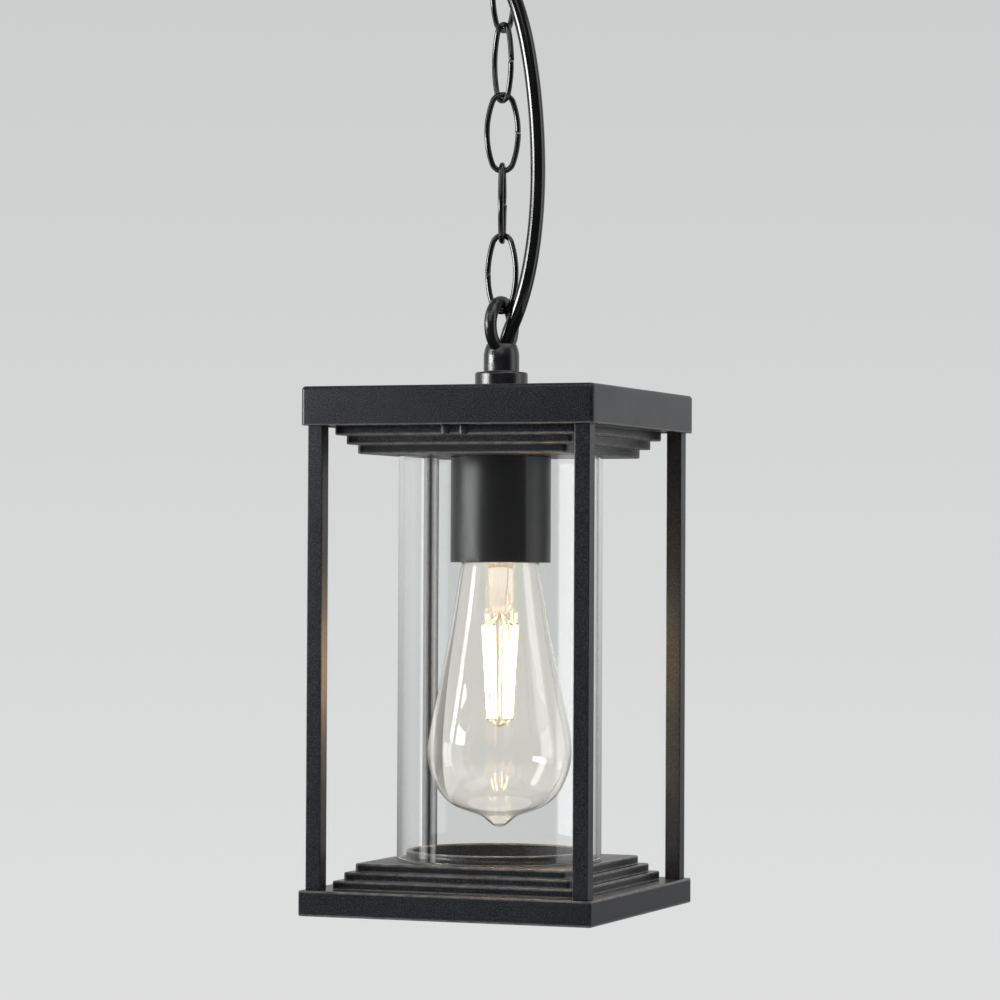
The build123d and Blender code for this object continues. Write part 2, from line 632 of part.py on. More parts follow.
# ---------------------------------------------------------------- lampholder
def lampholder_cup():
    """Round sleeve hung under the top plate, lipped at its mouth."""
    outer = CUP_DIAMETER / 2
    cup = rod(outer, cup_mouth, cup_top)
    cup = fillet(cup.edges().filter_by(GeomType.CIRCLE).sort_by(Axis.Z)[0], CUP_EDGE)
    cup -= rod(outer - CUP_WALL - CUP_LIP, cup_mouth, cup_mouth + CUP_LIP_HEIGHT)
    cup -= rod(outer - CUP_WALL, cup_mouth + CUP_LIP_HEIGHT, cup_roof_low)
    cup -= rod(hole_radius, cup_roof_low, cup_top)
    for x in boss_places():
        cup -= rod(SCREW_DIAMETER / 2 + SCREW_CLEARANCE, cup_roof_low, cup_top, (x, 0))
        cup -= rod(SCREW_HEAD / 2 + SCREW_CLEARANCE, cup_roof_low + CUP_SCREW_SEAT, cup_top, (x, 0))
    return cup


def boss_places():
    return (-BOSS_SPACING / 2, BOSS_SPACING / 2)


def lampholder_body():
    """Insulating holder with two bosses up to the cup's roof."""
    body = rod(HOLDER_DIAMETER / 2, holder_low, holder_back)
    body = fillet(body.edges().filter_by(GeomType.CIRCLE), HOLDER_EDGE)
    body -= rod(shell_radius + SHELL_THICKNESS, holder_low, holder_face)
    for x in boss_places():
        body += rod(BOSS_DIAMETER / 2, holder_back - HOLDER_WEB / 2, cup_roof_low, (x, 0))
        body -= rod(SCREW_DIAMETER / 2 + THREAD_CLEARANCE, holder_back, cup_roof_low, (x, 0))
    pocket = CONTACT_BLOCK_SIDE + 2 * CONTACT_BLOCK_GAP
    for y in (-TERMINAL_SCREW_OFFSET, TERMINAL_SCREW_OFFSET):
        body -= block(pocket, pocket, holder_back - CONTACT_BLOCK_DEPTH, holder_back, (0, y))
    return body


def lampholder_screws():
    """Cheese-head screws sunk in the cup's roof, down into the holder's bosses."""
    screws = []
    for x in boss_places():
        seat = cup_roof_low + CUP_SCREW_SEAT
        shank = rod(SCREW_DIAMETER / 2, holder_back + HOLDER_SCREW_GAP, seat, (x, 0))
        head = rod(SCREW_HEAD / 2, seat, cup_top, (x, 0))
        slot = block(SCREW_HEAD, SCREW_SLOT_WIDTH, (seat + cup_top) / 2, cup_top, (x, 0))
        screws.append(shank + head - slot)
    return screws


def lampholder_shell():
    high = holder_face - SHELL_GAP
    return pipe(shell_radius + SHELL_THICKNESS, shell_radius, high - SHELL_LENGTH, high)


def lampholder_contact():
    """Centre contact: a flat strip across the holder's web, over the bulb's pip."""
    return block(CONTACT_LENGTH, CONTACT_WIDTH, holder_face - CONTACT_THICKNESS, holder_face)


def holder_terminals():
    """Two brass blocks let into the holder's back, each with a cross hole for its core."""
    side = CONTACT_BLOCK_SIDE
    low, high = holder_back - CONTACT_BLOCK_DEPTH, holder_back + CONTACT_BLOCK_SHOW
    hole = Rot(90, 0, 0) * Cylinder(CONTACT_BLOCK_HOLE / 2, side)
    blocks = []
    for y in (-TERMINAL_SCREW_OFFSET, TERMINAL_SCREW_OFFSET):
        body = block(side, side, low, high, (0, y))
        blocks.append(body - Pos(0, y, holder_back + CONTACT_BLOCK_GAP) * hole)
    return blocks


def holder_core(start, end):
    """Core down the lantern's nipple at start, then out to end over the lampholder's back."""
    turn_level = (cup_roof_low - NUT_HEIGHT + holder_back) / 2 - HOLDER_CORE_DROP
    points = [(*start, cable_low), (*start, turn_level), (*end, turn_level)]
    return swept_wire(points, CORE_DIAMETER / 2, CORE_BEND)


def lantern_cores():
    """Line and neutral, to the lampholder's two terminals."""
    end = TERMINAL_SCREW_OFFSET - HOLDER_TERMINAL_REACH
    return [holder_core((0, side * HOLDER_CORE_CIRCLE), (0, side * end)) for side in (1, -1)]


def earth_core():
    return holder_core((HOLDER_CORE_CIRCLE, 0), (EARTH_CORE_END, EARTH_CORE_END))


def earth_screw():
    """Earth screw up into the cup's roof, clamping the earth core's end."""
    at = (EARTH_SCREW_PLACE, EARTH_SCREW_PLACE)
    seat = cup_roof_low - EARTH_SCREW_DROP
    head_end = seat - SCREW_HEAD_HEIGHT
    shank = rod(SCREW_DIAMETER / 2, seat, cup_roof_low, at)
    head = rod(SCREW_HEAD / 2, head_end, seat, at)
    return shank + head - block(SCREW_HEAD, SCREW_SLOT_WIDTH, head_end, head_end + SCREW_SLOT_WIDTH, at)


# ---------------------------------------------------------------- bulb
def bulb_profile(inset):
    """Closed solid of the envelope's outline, moved inwards by inset."""
    last = len(BULB_OUTLINE) - 1
    points = []
    for i, (depth, radius) in enumerate(BULB_OUTLINE):
        lift = inset * (i / last) ** 3
        points.append((radius - inset, cup_mouth - depth + lift))
    neck_radius = BULB_CAP_RADIUS - NECK_INSET - inset
    neck_top = bulb_seam + CAP_OVERLAP
    neck = Polyline((0, neck_top), (neck_radius, neck_top), (neck_radius, bulb_seam))
    shoulder = Spline([(neck_radius, bulb_seam), points[0]], tangents=[(1, -0.6), (0.1, -1)])
    side = Spline(points, tangents=[(0.1, -1), (-1, -0.25)])
    tip_low = cup_mouth - BULB_TIP + inset
    tip = Spline([points[-1], (0, tip_low)], tangents=[(-0.8, -1), (-1, 0)])
    close = Line((0, tip_low), (0, neck_top))
    return revolve(Plane.XZ * make_face(neck + shoulder + side + tip + close), axis=Axis.Z)


def bulb_glass():
    """Thin envelope, open at the neck, where the cap closes it."""
    shell = bulb_profile(0.0) - bulb_profile(BULB_GLASS_WALL)
    opening = BULB_CAP_RADIUS - NECK_INSET - BULB_GLASS_WALL
    return shell - rod(opening, bulb_seam, bulb_seam + CAP_OVERLAP)


def bulb_cap():
    """Threaded E27 cap: a thin sleeve with rolled thread rings, closed above."""
    root = BULB_CAP_RADIUS - CAP_THREAD_DEPTH
    outer = rod(root, bulb_seam, bulb_cap_top)
    outer += rod(BULB_CAP_RADIUS, bulb_seam, bulb_seam + CAP_COLLAR)
    level = bulb_seam + CAP_COLLAR + CAP_THREAD_PITCH / 2
    while level < bulb_cap_top - CAP_THREAD_PITCH / 2:
        outer += Pos(0, 0, level) * Torus(root - CAP_THREAD_SINK, CAP_THREAD_DEPTH)
        level += CAP_THREAD_PITCH
    neck_top = bulb_seam + CAP_OVERLAP
    inner = rod(root - CAP_THREAD_DEPTH - BULB_CAP_WALL, neck_top, bulb_cap_top - CAP_END_WALL)
    return outer - inner - rod(BULB_CAP_RADIUS - NECK_INSET, bulb_seam, neck_top)


def bulb_insulator():
    wide = BULB_CAP_RADIUS - CAP_THREAD_DEPTH - INSULATOR_INSET
    return Pos(0, 0, bulb_cap_top) * Cone(wide, INSULATOR_TOP_RADIUS, INSULATOR_HEIGHT, align=UP)


def bulb_contact():
    pip = rod(BULB_CONTACT_RADIUS, bulb_cap_top + INSULATOR_HEIGHT, bulb_contact_top)
    return fillet(pip.edges().filter_by(GeomType.CIRCLE).sort_by(Axis.Z)[-1], BULB_CONTACT_EDGE)


def bulb_stem():
    """Flared glass stem inside the neck, with its pinched end."""
    foot = cup_mouth - STEM_GLASS_DEPTH
    flare = BULB_CAP_RADIUS - NECK_INSET - BULB_GLASS_WALL - STEM_FLARE_GAP
    rim = bulb_seam + STEM_RIM
    side = Polyline((0, rim), (flare, rim), (flare, bulb_seam))
    curve = Spline([(flare, bulb_seam), (STEM_GLASS_RADIUS, cup_mouth)], tangents=[(-0.3, -1), (0, -1)])
    end = Polyline((STEM_GLASS_RADIUS, cup_mouth), (STEM_GLASS_RADIUS, foot + STEM_PINCH_HEIGHT),
                   (STEM_PINCH_RADIUS, foot), (0, foot), (0, rim))
    return revolve(Plane.XZ * make_face(side + curve + end), axis=Axis.Z)


def filament_ends(index):
    angle = math.radians(360 / FILAMENT_COUNT * (index + 0.5))
    ends = []
    for depth, radius in (FILAMENT_TOP, FILAMENT_FOOT):
        ends.append((radius * math.cos(angle), radius * math.sin(angle), cup_mouth - depth))
    return ends


def strut(start, end, radius):
    """Straight round bar between two points."""
    line = Line(start, end)
    return sweep(Plane(origin=line @ 0, z_dir=line % 0) * Circle(radius), path=line)


def bulb_filaments():
    return [strut(*filament_ends(i), FILAMENT_RADIUS) for i in range(FILAMENT_COUNT)]


def bulb_supports():
    """Centre wire down from the stem, with a spoke to each end of every filament."""
    foot = cup_mouth - SUPPORT_FOOT
    stem_foot = cup_mouth - STEM_GLASS_DEPTH
    frame = rod(SUPPORT_RADIUS, foot, stem_foot)
    for i in range(FILAMENT_COUNT):
        top, low = filament_ends(i)
        lead = (Vector(*top) - Vector(*low)).normalized() * SUPPORT_REACH
        above = Vector(*top) + lead
        below = Vector(*low) - lead
        frame += strut((0, 0, stem_foot - SPOKE_DROP), tuple(above), SUPPORT_RADIUS)
        frame += strut((0, 0, foot + SUPPORT_RADIUS), tuple(below), SUPPORT_RADIUS)
    for i in range(FILAMENT_COUNT):
        frame -= strut(*filament_ends(i), FILAMENT_RADIUS + FILAMENT_GAP)
    return max(frame.solids(), key=lambda piece: piece.volume)


# ---------------------------------------------------------------- all sub-parts
parts = {
    "ceiling_rose": ceiling_rose(),
    "ceiling_bracket": ceiling_bracket(),
    "ceiling_nipple": ceiling_nipple(),
    "ceiling_nuts": ceiling_nuts(),
    "ceiling_loop": ceiling_loop(),
    "rose_gasket": gasket(rose_face - GASKET_THICKNESS),
    "terminal_block": terminal_block(),
    "terminal_sleeves": terminal_sleeves(),
    "terminal_screws": terminal_screws(),
    "ceiling_cores": ceiling_cores(),
    "ceiling_earth_screw": ceiling_earth_screw(),
    "lantern_loop": lantern_loop(),
    "cap_gasket": gasket(cap_top),
    "lantern_nipple": lantern_nipple(),
    "lantern_nuts": lantern_nuts(),
    "roof_cap": roof_cap(),
    "top_plate": top_plate(),
    "top_post_screws": top_post_screws(),
    "base_plate": base_plate(),
    "base_post_screws": base_post_screws(),
    "glass_cylinder": glass_cylinder(),
    "glass_seal_lower": glass_seal(base_step_top),
    "glass_seal_upper": glass_seal(glass_top),
    "lampholder_cup": lampholder_cup(),
    "lampholder_body": lampholder_body(),
    "lampholder_screws": lampholder_screws(),
    "lampholder_shell": lampholder_shell(),
    "lampholder_contact": lampholder_contact(),
    "holder_terminals": holder_terminals(),
    "lantern_cores": lantern_cores(),
    "earth_core": earth_core(),
    "earth_screw": earth_screw(),
    "bulb_glass": bulb_glass(),
    "bulb_cap": bulb_cap(),
    "bulb_insulator": bulb_insulator(),
    "bulb_contact": bulb_contact(),
    "bulb_stem": bulb_stem(),
    "bulb_filaments": bulb_filaments(),
    "bulb_supports": bulb_supports(),
}
for name, at in zip(post_names, post_places):
    parts["post_" + name] = post(at)
for index in range(LINK_COUNT):
    parts["chain_link_" + str(index + 1)] = chain_link(index)
for index, span in enumerate(cable_spans()):
    parts["cable_" + str(index + 1)] = span

os.makedirs("parts", exist_ok=True)
for name, shape in parts.items():
    if isinstance(shape, list):
        shape = Compound(children=[solid for piece in shape for solid in piece.solids()])
    export_step(shape, "parts/" + name + ".step")
print(len(parts), "sub-parts; cap top", round(cap_top, 2), "base low", round(base_low, 2))
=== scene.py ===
import json
import math

import bmesh
import bpy
import numpy as np
from mathutils import Matrix, Vector


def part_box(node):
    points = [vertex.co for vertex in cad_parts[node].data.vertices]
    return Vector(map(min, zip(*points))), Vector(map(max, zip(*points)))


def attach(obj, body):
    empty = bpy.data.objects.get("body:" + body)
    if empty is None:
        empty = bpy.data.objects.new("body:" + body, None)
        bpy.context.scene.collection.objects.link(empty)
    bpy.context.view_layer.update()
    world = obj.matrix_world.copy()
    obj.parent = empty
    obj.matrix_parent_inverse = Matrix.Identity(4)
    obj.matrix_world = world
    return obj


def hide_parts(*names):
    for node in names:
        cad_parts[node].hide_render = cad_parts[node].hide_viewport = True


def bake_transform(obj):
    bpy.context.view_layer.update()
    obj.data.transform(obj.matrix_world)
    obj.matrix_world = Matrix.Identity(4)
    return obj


# Looks of the hanging lantern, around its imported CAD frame. Metres, +Z up, z = 0 is the ceiling.
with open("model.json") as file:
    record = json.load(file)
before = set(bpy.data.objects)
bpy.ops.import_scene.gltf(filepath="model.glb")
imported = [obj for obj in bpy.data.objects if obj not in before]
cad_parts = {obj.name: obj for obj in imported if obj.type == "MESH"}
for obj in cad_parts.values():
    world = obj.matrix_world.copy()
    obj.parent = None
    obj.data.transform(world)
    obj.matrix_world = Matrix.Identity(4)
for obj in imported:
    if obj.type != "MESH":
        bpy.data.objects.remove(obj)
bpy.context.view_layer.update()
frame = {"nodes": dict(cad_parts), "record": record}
scene = bpy.context.scene
MM = 0.001
SAME_POINT = 1e-7


# ---------------------------------------------------------------- node graphs
def fresh(name):
    """A new material, its tree and its Principled shader."""
    mat = bpy.data.materials.new(name)
    mat.use_nodes = True
    tree = mat.node_tree
    return mat, tree, tree.nodes["Principled BSDF"]


def noise(tree, scale, detail=3.0, rough=0.55, stretch=None):
    """Noise over the object's own coordinates; scale is in features per metre."""
    coords = tree.nodes.new("ShaderNodeTexCoord").outputs["Object"]
    if stretch:
        mapping = tree.nodes.new("ShaderNodeMapping")
        mapping.inputs["Scale"].default_value = stretch
        tree.links.new(coords, mapping.inputs["Vector"])
        coords = mapping.outputs["Vector"]
    node = tree.nodes.new("ShaderNodeTexNoise")
    node.inputs["Scale"].default_value = scale
    node.inputs["Detail"].default_value = detail
    node.inputs["Roughness"].default_value = rough
    tree.links.new(coords, node.inputs["Vector"])
    return node.outputs["Fac"]


def ranged(tree, value, low, high, start=0.3, end=0.7):
    """value from start..end mapped to low..high, held at both."""
    node = tree.nodes.new("ShaderNodeMapRange")
    node.inputs["From Min"].default_value = start
    node.inputs["From Max"].default_value = end
    node.inputs["To Min"].default_value = low
    node.inputs["To Max"].default_value = high
    tree.links.new(value, node.inputs["Value"])
    return node.outputs["Result"]


def mixed(tree, factor, a, b):
    """Colour mix; a and b are colours or sockets."""
    node = tree.nodes.new("ShaderNodeMix")
    node.data_type = "RGBA"
    tree.links.new(factor, node.inputs["Factor"])
    for side, value in (("A", a), ("B", b)):
        socket = [s for s in node.inputs if s.name == side and s.type == "RGBA"][0]
        if isinstance(value, tuple):
            socket.default_value = (*value, 1.0)
        else:
            tree.links.new(value, socket)
    return [s for s in node.outputs if s.type == "RGBA"][0]


def maths(tree, kind, a, b):
    """A maths node's result; a and b are numbers or sockets."""
    node = tree.nodes.new("ShaderNodeMath")
    node.operation = kind
    for socket, value in zip(node.inputs, (a, b)):
        if isinstance(value, (int, float)):
            socket.default_value = value
        else:
            tree.links.new(value, socket)
    return node.outputs[0]


def bump(tree, shader, height, distance, under=None):
    """Relief, distance metres high, on the shader's normal and over an earlier relief."""
    node = tree.nodes.new("ShaderNodeBump")
    node.inputs["Distance"].default_value = distance
    tree.links.new(height, node.inputs["Height"])
    if under is not None:
        tree.links.new(under, node.inputs["Normal"])
    tree.links.new(node.outputs["Normal"], shader.inputs["Normal"])
    return node.outputs["Normal"]


SPECK_FADE = 0.06
EDGE_PATCHES = 4.0
LEAST_EDGE_WEAR_AND_HIGHLIGHT = 0.4


def surface(name, dark, light, rough, spread, patch, grain, depth, metallic=0.0, specular=0.5,
            speck=None, edge=None, wave=None):
    """Opaque finish: patches of two tones with uneven roughness, and a fine grain with a depth.
    speck gives the light grains' tone and share, edge the lighter tone laid on the marked
    edges and how much smoother they are, a painted highlight on the coats' narrow roundings and
    wear on the chain's cut ends, and wave the scale and height of a soft unevenness."""
    mat, tree, shader = fresh(name)
    shader.inputs["Metallic"].default_value = metallic
    shader.inputs["Specular IOR Level"].default_value = specular
    patches = noise(tree, patch, 4.0, 0.6)
    fine = noise(tree, grain, 2.0, 0.6)
    colour = mixed(tree, ranged(tree, patches, 0.0, 1.0), dark, light)
    roughness = ranged(tree, patches, rough - spread, rough + spread)
    if speck:
        tone, share = speck
        spots = ranged(tree, fine, 0.0, 1.0, 1.0 - share - SPECK_FADE, 1.0 - share)
        colour = mixed(tree, spots, colour, tone)
    # Lighter edges: a painted highlight on the coats' narrow roundings, wear on the chain's cut
    # ends.
    if edge:
        tone, smoother = edge
        wear_and_highlight = tree.nodes.new("ShaderNodeAttribute")
        wear_and_highlight.attribute_name = "edge"
        blotches = noise(tree, patch * EDGE_PATCHES, 3.0, 0.7)
        uneven = ranged(tree, blotches, LEAST_EDGE_WEAR_AND_HIGHLIGHT, 1.0, 0.35, 0.65)
        edge_wear_and_highlight = maths(tree, "MULTIPLY", wear_and_highlight.outputs["Fac"], uneven)
        colour = mixed(tree, edge_wear_and_highlight, colour, tone)
        roughness = maths(tree, "SUBTRACT", roughness, maths(tree, "MULTIPLY", edge_wear_and_highlight, smoother))
    tree.links.new(colour, shader.inputs["Base Color"])
    tree.links.new(roughness, shader.inputs["Roughness"])
    normal = None
    if wave:
        size, height = wave
        normal = bump(tree, shader, noise(tree, size, 2.0, 0.5), height)
    bump(tree, shader, fine, depth, under=normal)
    return mat


TINT_PATCHES = 14.0
THICKER = 0.985
SHADOW_TINT = 0.97


def glass(name, tint, ior, rough, wave, stretch=None, glow=None):
    """Clear glass that lets lamps through, with faint drawing or blowing marks of the scale and
    height in wave, and in glow the tone and strength of a faint painted glow, emission laid on
    the glass where it stands round lit filaments in place of their light within it."""
    mat, tree, shader = fresh(name)
    if glow:
        shader.inputs["Emission Color"].default_value = (*glow[0], 1.0)
        shader.inputs["Emission Strength"].default_value = glow[1]
    shader.inputs["Transmission Weight"].default_value = 1.0
    shader.inputs["IOR"].default_value = ior
    shader.inputs["Roughness"].default_value = rough
    tone = mixed(tree, ranged(tree, noise(tree, TINT_PATCHES), 0.0, 1.0), tint,
                 tuple(THICKER * c for c in tint))
    tree.links.new(tone, shader.inputs["Base Color"])
    size, height = wave
    bump(tree, shader, noise(tree, size, 2.0, 0.4, stretch), height)
    path = tree.nodes.new("ShaderNodeLightPath")
    clear = tree.nodes.new("ShaderNodeBsdfTransparent")
    clear.inputs["Color"].default_value = (*(SHADOW_TINT * c for c in tint), 1.0)
    mix = tree.nodes.new("ShaderNodeMixShader")
    out = tree.nodes["Material Output"]
    tree.links.new(path.outputs["Is Shadow Ray"], mix.inputs[0])
    tree.links.new(shader.outputs["BSDF"], mix.inputs[1])
    tree.links.new(clear.outputs["BSDF"], mix.inputs[2])
    tree.links.new(mix.outputs["Shader"], out.inputs["Surface"])
    return mat


CORE_GRAIN = 2000.0
BAND_UNEVENNESS = 0.6
BAND_EDGES = (0.48, 0.52)
PHOSPHOR_PATCHES = 900.0
PHOSPHOR_GRAIN = 3000.0
PHOSPHOR_SHADE = 0.8


def insulated(name, a, b, bands):
    """Core insulation in two tones, in uneven bands; bands is their scale."""
    mat, tree, shader = fresh(name)
    wave = tree.nodes.new("ShaderNodeTexWave")
    wave.inputs["Scale"].default_value = bands
    wave.inputs["Distortion"].default_value = BAND_UNEVENNESS
    coords = tree.nodes.new("ShaderNodeTexCoord").outputs["Object"]
    tree.links.new(coords, wave.inputs["Vector"])
    colour = mixed(tree, ranged(tree, wave.outputs["Fac"], 0.0, 1.0, *BAND_EDGES), a, b)
    tree.links.new(colour, shader.inputs["Base Color"])
    fine = noise(tree, CORE_GRAIN)
    tree.links.new(ranged(tree, fine, 0.3, 0.45), shader.inputs["Roughness"])
    bump(tree, shader, fine, 0.00001)
    return mat


def glowing(name, tone, light, strength):
    """Phosphor-coated filament, lit."""
    mat, tree, shader = fresh(name)
    coat = mixed(tree, ranged(tree, noise(tree, PHOSPHOR_PATCHES), 0.0, 1.0), tone,
                 tuple(PHOSPHOR_SHADE * c for c in tone))
    tree.links.new(coat, shader.inputs["Base Color"])
    fine = noise(tree, PHOSPHOR_GRAIN)
    tree.links.new(ranged(tree, fine, 0.45, 0.7), shader.inputs["Roughness"])
    bump(tree, shader, fine, 0.00002)
    shader.inputs["Emission Color"].default_value = (*light, 1.0)
    shader.inputs["Emission Strength"].default_value = strength
    return mat


GLASS_IOR = 1.5
SILICONE_IOR = 1.41
# Tones are linear, patch, grain and bands are in features a metre, and depths in metres.
FINISHES = {
    "black_powder_coat": (surface, dict(
        dark=(0.0028, 0.003, 0.0036), light=(0.0046, 0.0049, 0.0058), rough=0.3, spread=0.025,
        patch=40.0, grain=2000.0, depth=0.00005, speck=((0.038, 0.042, 0.053), 0.41),
        # edge: a lighter tone on the narrow roundings, a painted highlight.
        edge=((0.12, 0.118, 0.115), 0.16), wave=(420.0, 0.00001), specular=0.45)),
    "black_casting": (surface, dict(
        dark=(0.004, 0.004, 0.0045), light=(0.008, 0.008, 0.009), rough=0.26, spread=0.05,
        patch=220.0, grain=1700.0, depth=0.00004, speck=((0.03, 0.03, 0.032), 0.25),
        wave=(260.0, 0.00004), specular=0.8)),
    "black_chain": (surface, dict(
        dark=(0.0025, 0.0025, 0.0028), light=(0.004, 0.004, 0.0044), rough=0.14, spread=0.03,
        patch=260.0, grain=1500.0, depth=0.000002, edge=((0.03, 0.029, 0.028), 0.04),
        wave=(240.0, 0.00002), specular=0.75)),
    "black_cable": (surface, dict(
        dark=(0.0022, 0.0022, 0.0025), light=(0.0034, 0.0034, 0.0038), rough=0.14, spread=0.03,
        patch=90.0, grain=1200.0, depth=0.000002, wave=(120.0, 0.000015), specular=0.75)),
    "zinc_steel": (surface, dict(
        dark=(0.5, 0.5, 0.5), light=(0.68, 0.68, 0.7), rough=0.34, spread=0.08, patch=200.0,
        grain=1500.0, depth=0.00002, metallic=1.0, wave=(500.0, 0.00001))),
    "brass": (surface, dict(
        dark=(0.6, 0.44, 0.18), light=(0.8, 0.62, 0.3), rough=0.3, spread=0.08, patch=260.0,
        grain=1600.0, depth=0.00002, metallic=1.0, wave=(600.0, 0.00001))),
    "black_rubber": (surface, dict(
        dark=(0.012, 0.012, 0.012), light=(0.02, 0.02, 0.02), rough=0.7, spread=0.08,
        patch=150.0, grain=1500.0, depth=0.00003)),
    "white_plastic": (surface, dict(
        dark=(0.74, 0.74, 0.72), light=(0.84, 0.84, 0.82), rough=0.42, spread=0.07,
        patch=120.0, grain=1800.0, depth=0.00002, wave=(300.0, 0.00001))),
    "ceramic": (surface, dict(
        dark=(0.78, 0.76, 0.72), light=(0.87, 0.86, 0.83), rough=0.2, spread=0.05, patch=140.0,
        grain=1300.0, depth=0.00001, speck=((0.55, 0.52, 0.47), 0.22), wave=(260.0, 0.00004))),
    "core_insulation": (insulated, dict(
        a=(0.16, 0.07, 0.035), b=(0.12, 0.05, 0.03), bands=90.0)),
    "earth_insulation": (insulated, dict(
        a=(0.62, 0.55, 0.05), b=(0.06, 0.28, 0.05), bands=160.0)),
    "nickel": (surface, dict(
        dark=(0.62, 0.6, 0.56), light=(0.76, 0.74, 0.7), rough=0.22, spread=0.06, patch=240.0,
        grain=1500.0, depth=0.000015, metallic=1.0, wave=(420.0, 0.00001))),
    "black_glaze": (surface, dict(
        dark=(0.015, 0.015, 0.016), light=(0.03, 0.03, 0.03), rough=0.16, spread=0.05,
        patch=300.0, grain=1500.0, depth=0.00001, wave=(420.0, 0.00003))),
    "clear_silicone": (glass, dict(
        tint=(0.93, 0.94, 0.94), ior=SILICONE_IOR, rough=0.35, wave=(600.0, 0.00002))),
    "lantern_glass": (glass, dict(
        tint=(0.965, 0.975, 0.972), ior=GLASS_IOR, rough=0.0, wave=(26.0, 0.00006),
        stretch=(1.0, 1.0, 0.12))),
    "bulb_glass": (glass, dict(
        tint=(1.0, 0.99, 0.967), ior=GLASS_IOR, rough=0.0, wave=(38.0, 0.00008),
        # glow: a faint painted glow on the bulb's glass round the lit filaments.
        glow=((1.0, 0.92, 0.76), 0.03))),
    "led_filament": (glowing, dict(
        tone=(0.95, 0.75, 0.35), light=(1.0, 0.64, 0.31), strength=170.0)),
    "cup_coat": (surface, dict(
        dark=(0.003, 0.003, 0.0033), light=(0.005, 0.005, 0.0055), rough=0.3, spread=0.02,
        patch=90.0, grain=2400.0, depth=0.00006, speck=((0.02, 0.02, 0.023), 0.3),
        # edge: a lighter tone on the narrow roundings, a painted highlight.
        edge=((0.03, 0.03, 0.03), 0.1), wave=(300.0, 0.00001), specular=0.6)),
    "stem_glass": (glass, dict(
        tint=(1.0, 0.965, 0.925), ior=GLASS_IOR, rough=0.05, wave=(240.0, 0.00012),
        # glow: a painted glow on the stem's glass round the lit filaments.
        glow=((1.0, 0.84, 0.66), 0.2))),
}
finishes = {name: make(name, **facts) for name, (make, facts) in FINISHES.items()}


# ---------------------------------------------------------------- meshes
def piece(name, shells, body, slot, node, finish=None, flats=True):
    """One mesh object out of shells (points, faces, edge values), which replaces a CAD node and
    has its slot's finish or its own. flats keeps flat faces evenly shaded between roundings."""
    points, faces, wear_and_highlight = [], [], []
    for shell_points, shell_faces, shell_wear_and_highlight in shells:
        start = len(points)
        points += shell_points
        wear_and_highlight += shell_wear_and_highlight
        faces += [tuple(start + i for i in face) for face in shell_faces]
    mesh = bpy.data.meshes.new(name)
    mesh.from_pydata([tuple(p) for p in points], [], faces)
    mesh.attributes.new("edge", "FLOAT", "POINT").data.foreach_set("value", wear_and_highlight)
    solid = bmesh.new()
    solid.from_mesh(mesh)
    bmesh.ops.remove_doubles(solid, verts=solid.verts, dist=SAME_POINT)
    bmesh.ops.recalc_face_normals(solid, faces=solid.faces)
    solid.to_mesh(mesh)
    solid.free()
    mesh.polygons.foreach_set("use_smooth", [True] * len(mesh.polygons))
    mesh.materials.append(finishes[finish or slot])
    mesh.update()
    obj = bpy.data.objects.new(name, mesh)
    scene.collection.objects.link(obj)
    if flats:
        even = obj.modifiers.new("even_normals", "WEIGHTED_NORMAL")
        even.keep_sharp = True
    if body:
        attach(obj, body)
    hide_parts(node)
    return obj


# Roundings narrower than this get the coat's painted edge highlight.
WIDEST_EDGE = 1.0 * MM
SUPPORT = 0.45 * MM
SUPPORT_ROOM = 1.2
SIDE_SHARE = 0.46
LEAST_PLAN = 0.02 * MM


def rounded(corners, closed=True, steps=4):
    """A profile with rounded corners. A corner is (out, z, radius, plan); plan is None on a
    circle and the corner radius in plan on a square. Gives (out, z, plan, edge) points, where
    edge is 1 on roundings narrower than WIDEST_EDGE, which the coat lightens as a painted
    highlight. A support point on each side holds the flats straight, where there is room for it."""
    made = []
    count = len(corners)
    for i, (out, z, radius, plan) in enumerate(corners):
        here = Vector((out, z))
        if radius <= 0 or (not closed and i in (0, count - 1)):
            made.append((out, z, plan, 0.0))
            continue
        to_last = Vector(corners[i - 1][:2]) - here
        to_next = Vector(corners[(i + 1) % count][:2]) - here
        half = to_last.angle(to_next) / 2
        back = min(radius / math.tan(half), SIDE_SHARE * to_last.length,
                   SIDE_SHARE * to_next.length)
        reach = back * math.tan(half)
        u, v = to_last.normalized(), to_next.normalized()
        centre = here + (u + v).normalized() * reach / math.sin(half)
        first, last = here + u * back - centre, here + v * back - centre
        turn = first.angle_signed(last)
        arc = []
        for k in range(steps + 1):
            arm = first.copy()
            arm.rotate(Matrix.Rotation(-turn * k / steps, 2))
            arc.append(centre + arm)
        outer = [(p, 1.0 if radius < WIDEST_EDGE else 0.0) for p in arc]
        for end, direction, room in ((0, u, to_last.length), (1, v, to_next.length)):
            if room * SIDE_SHARE > back + SUPPORT * SUPPORT_ROOM:
                held = here + direction * (back + SUPPORT)
                outer.insert(0 if end == 0 else len(outer), (held, 0.0))
        for p, edge in outer:
            shifted = None if plan is None else max(plan + p.x - out, LEAST_PLAN)
            made.append((p.x, p.y, shifted, edge))
    return made


SIDE_STEPS = 22
CORNER_STEPS = 5


def square_ring(half, plan):
    """Rounded square of a half width and a corner radius, always with the same count of points."""
    ring = []
    inner = half - plan
    for c, s in ((1, 0), (0, 1), (-1, 0), (0, -1)):
        side = []
        for k in range(CORNER_STEPS + 1):
            a = math.pi / 2 * k / CORNER_STEPS
            side.append((inner + plan * math.cos(a), inner + plan * math.sin(a)))
        for k in range(1, SIDE_STEPS):
            side.append((inner - 2 * inner * k / SIDE_STEPS, half))
        ring += [(c * x - s * y, s * x + c * y) for x, y in side]
    return ring


RING_ANGLES = [math.atan2(y, x) for x, y in square_ring(1.0, 0.5)]


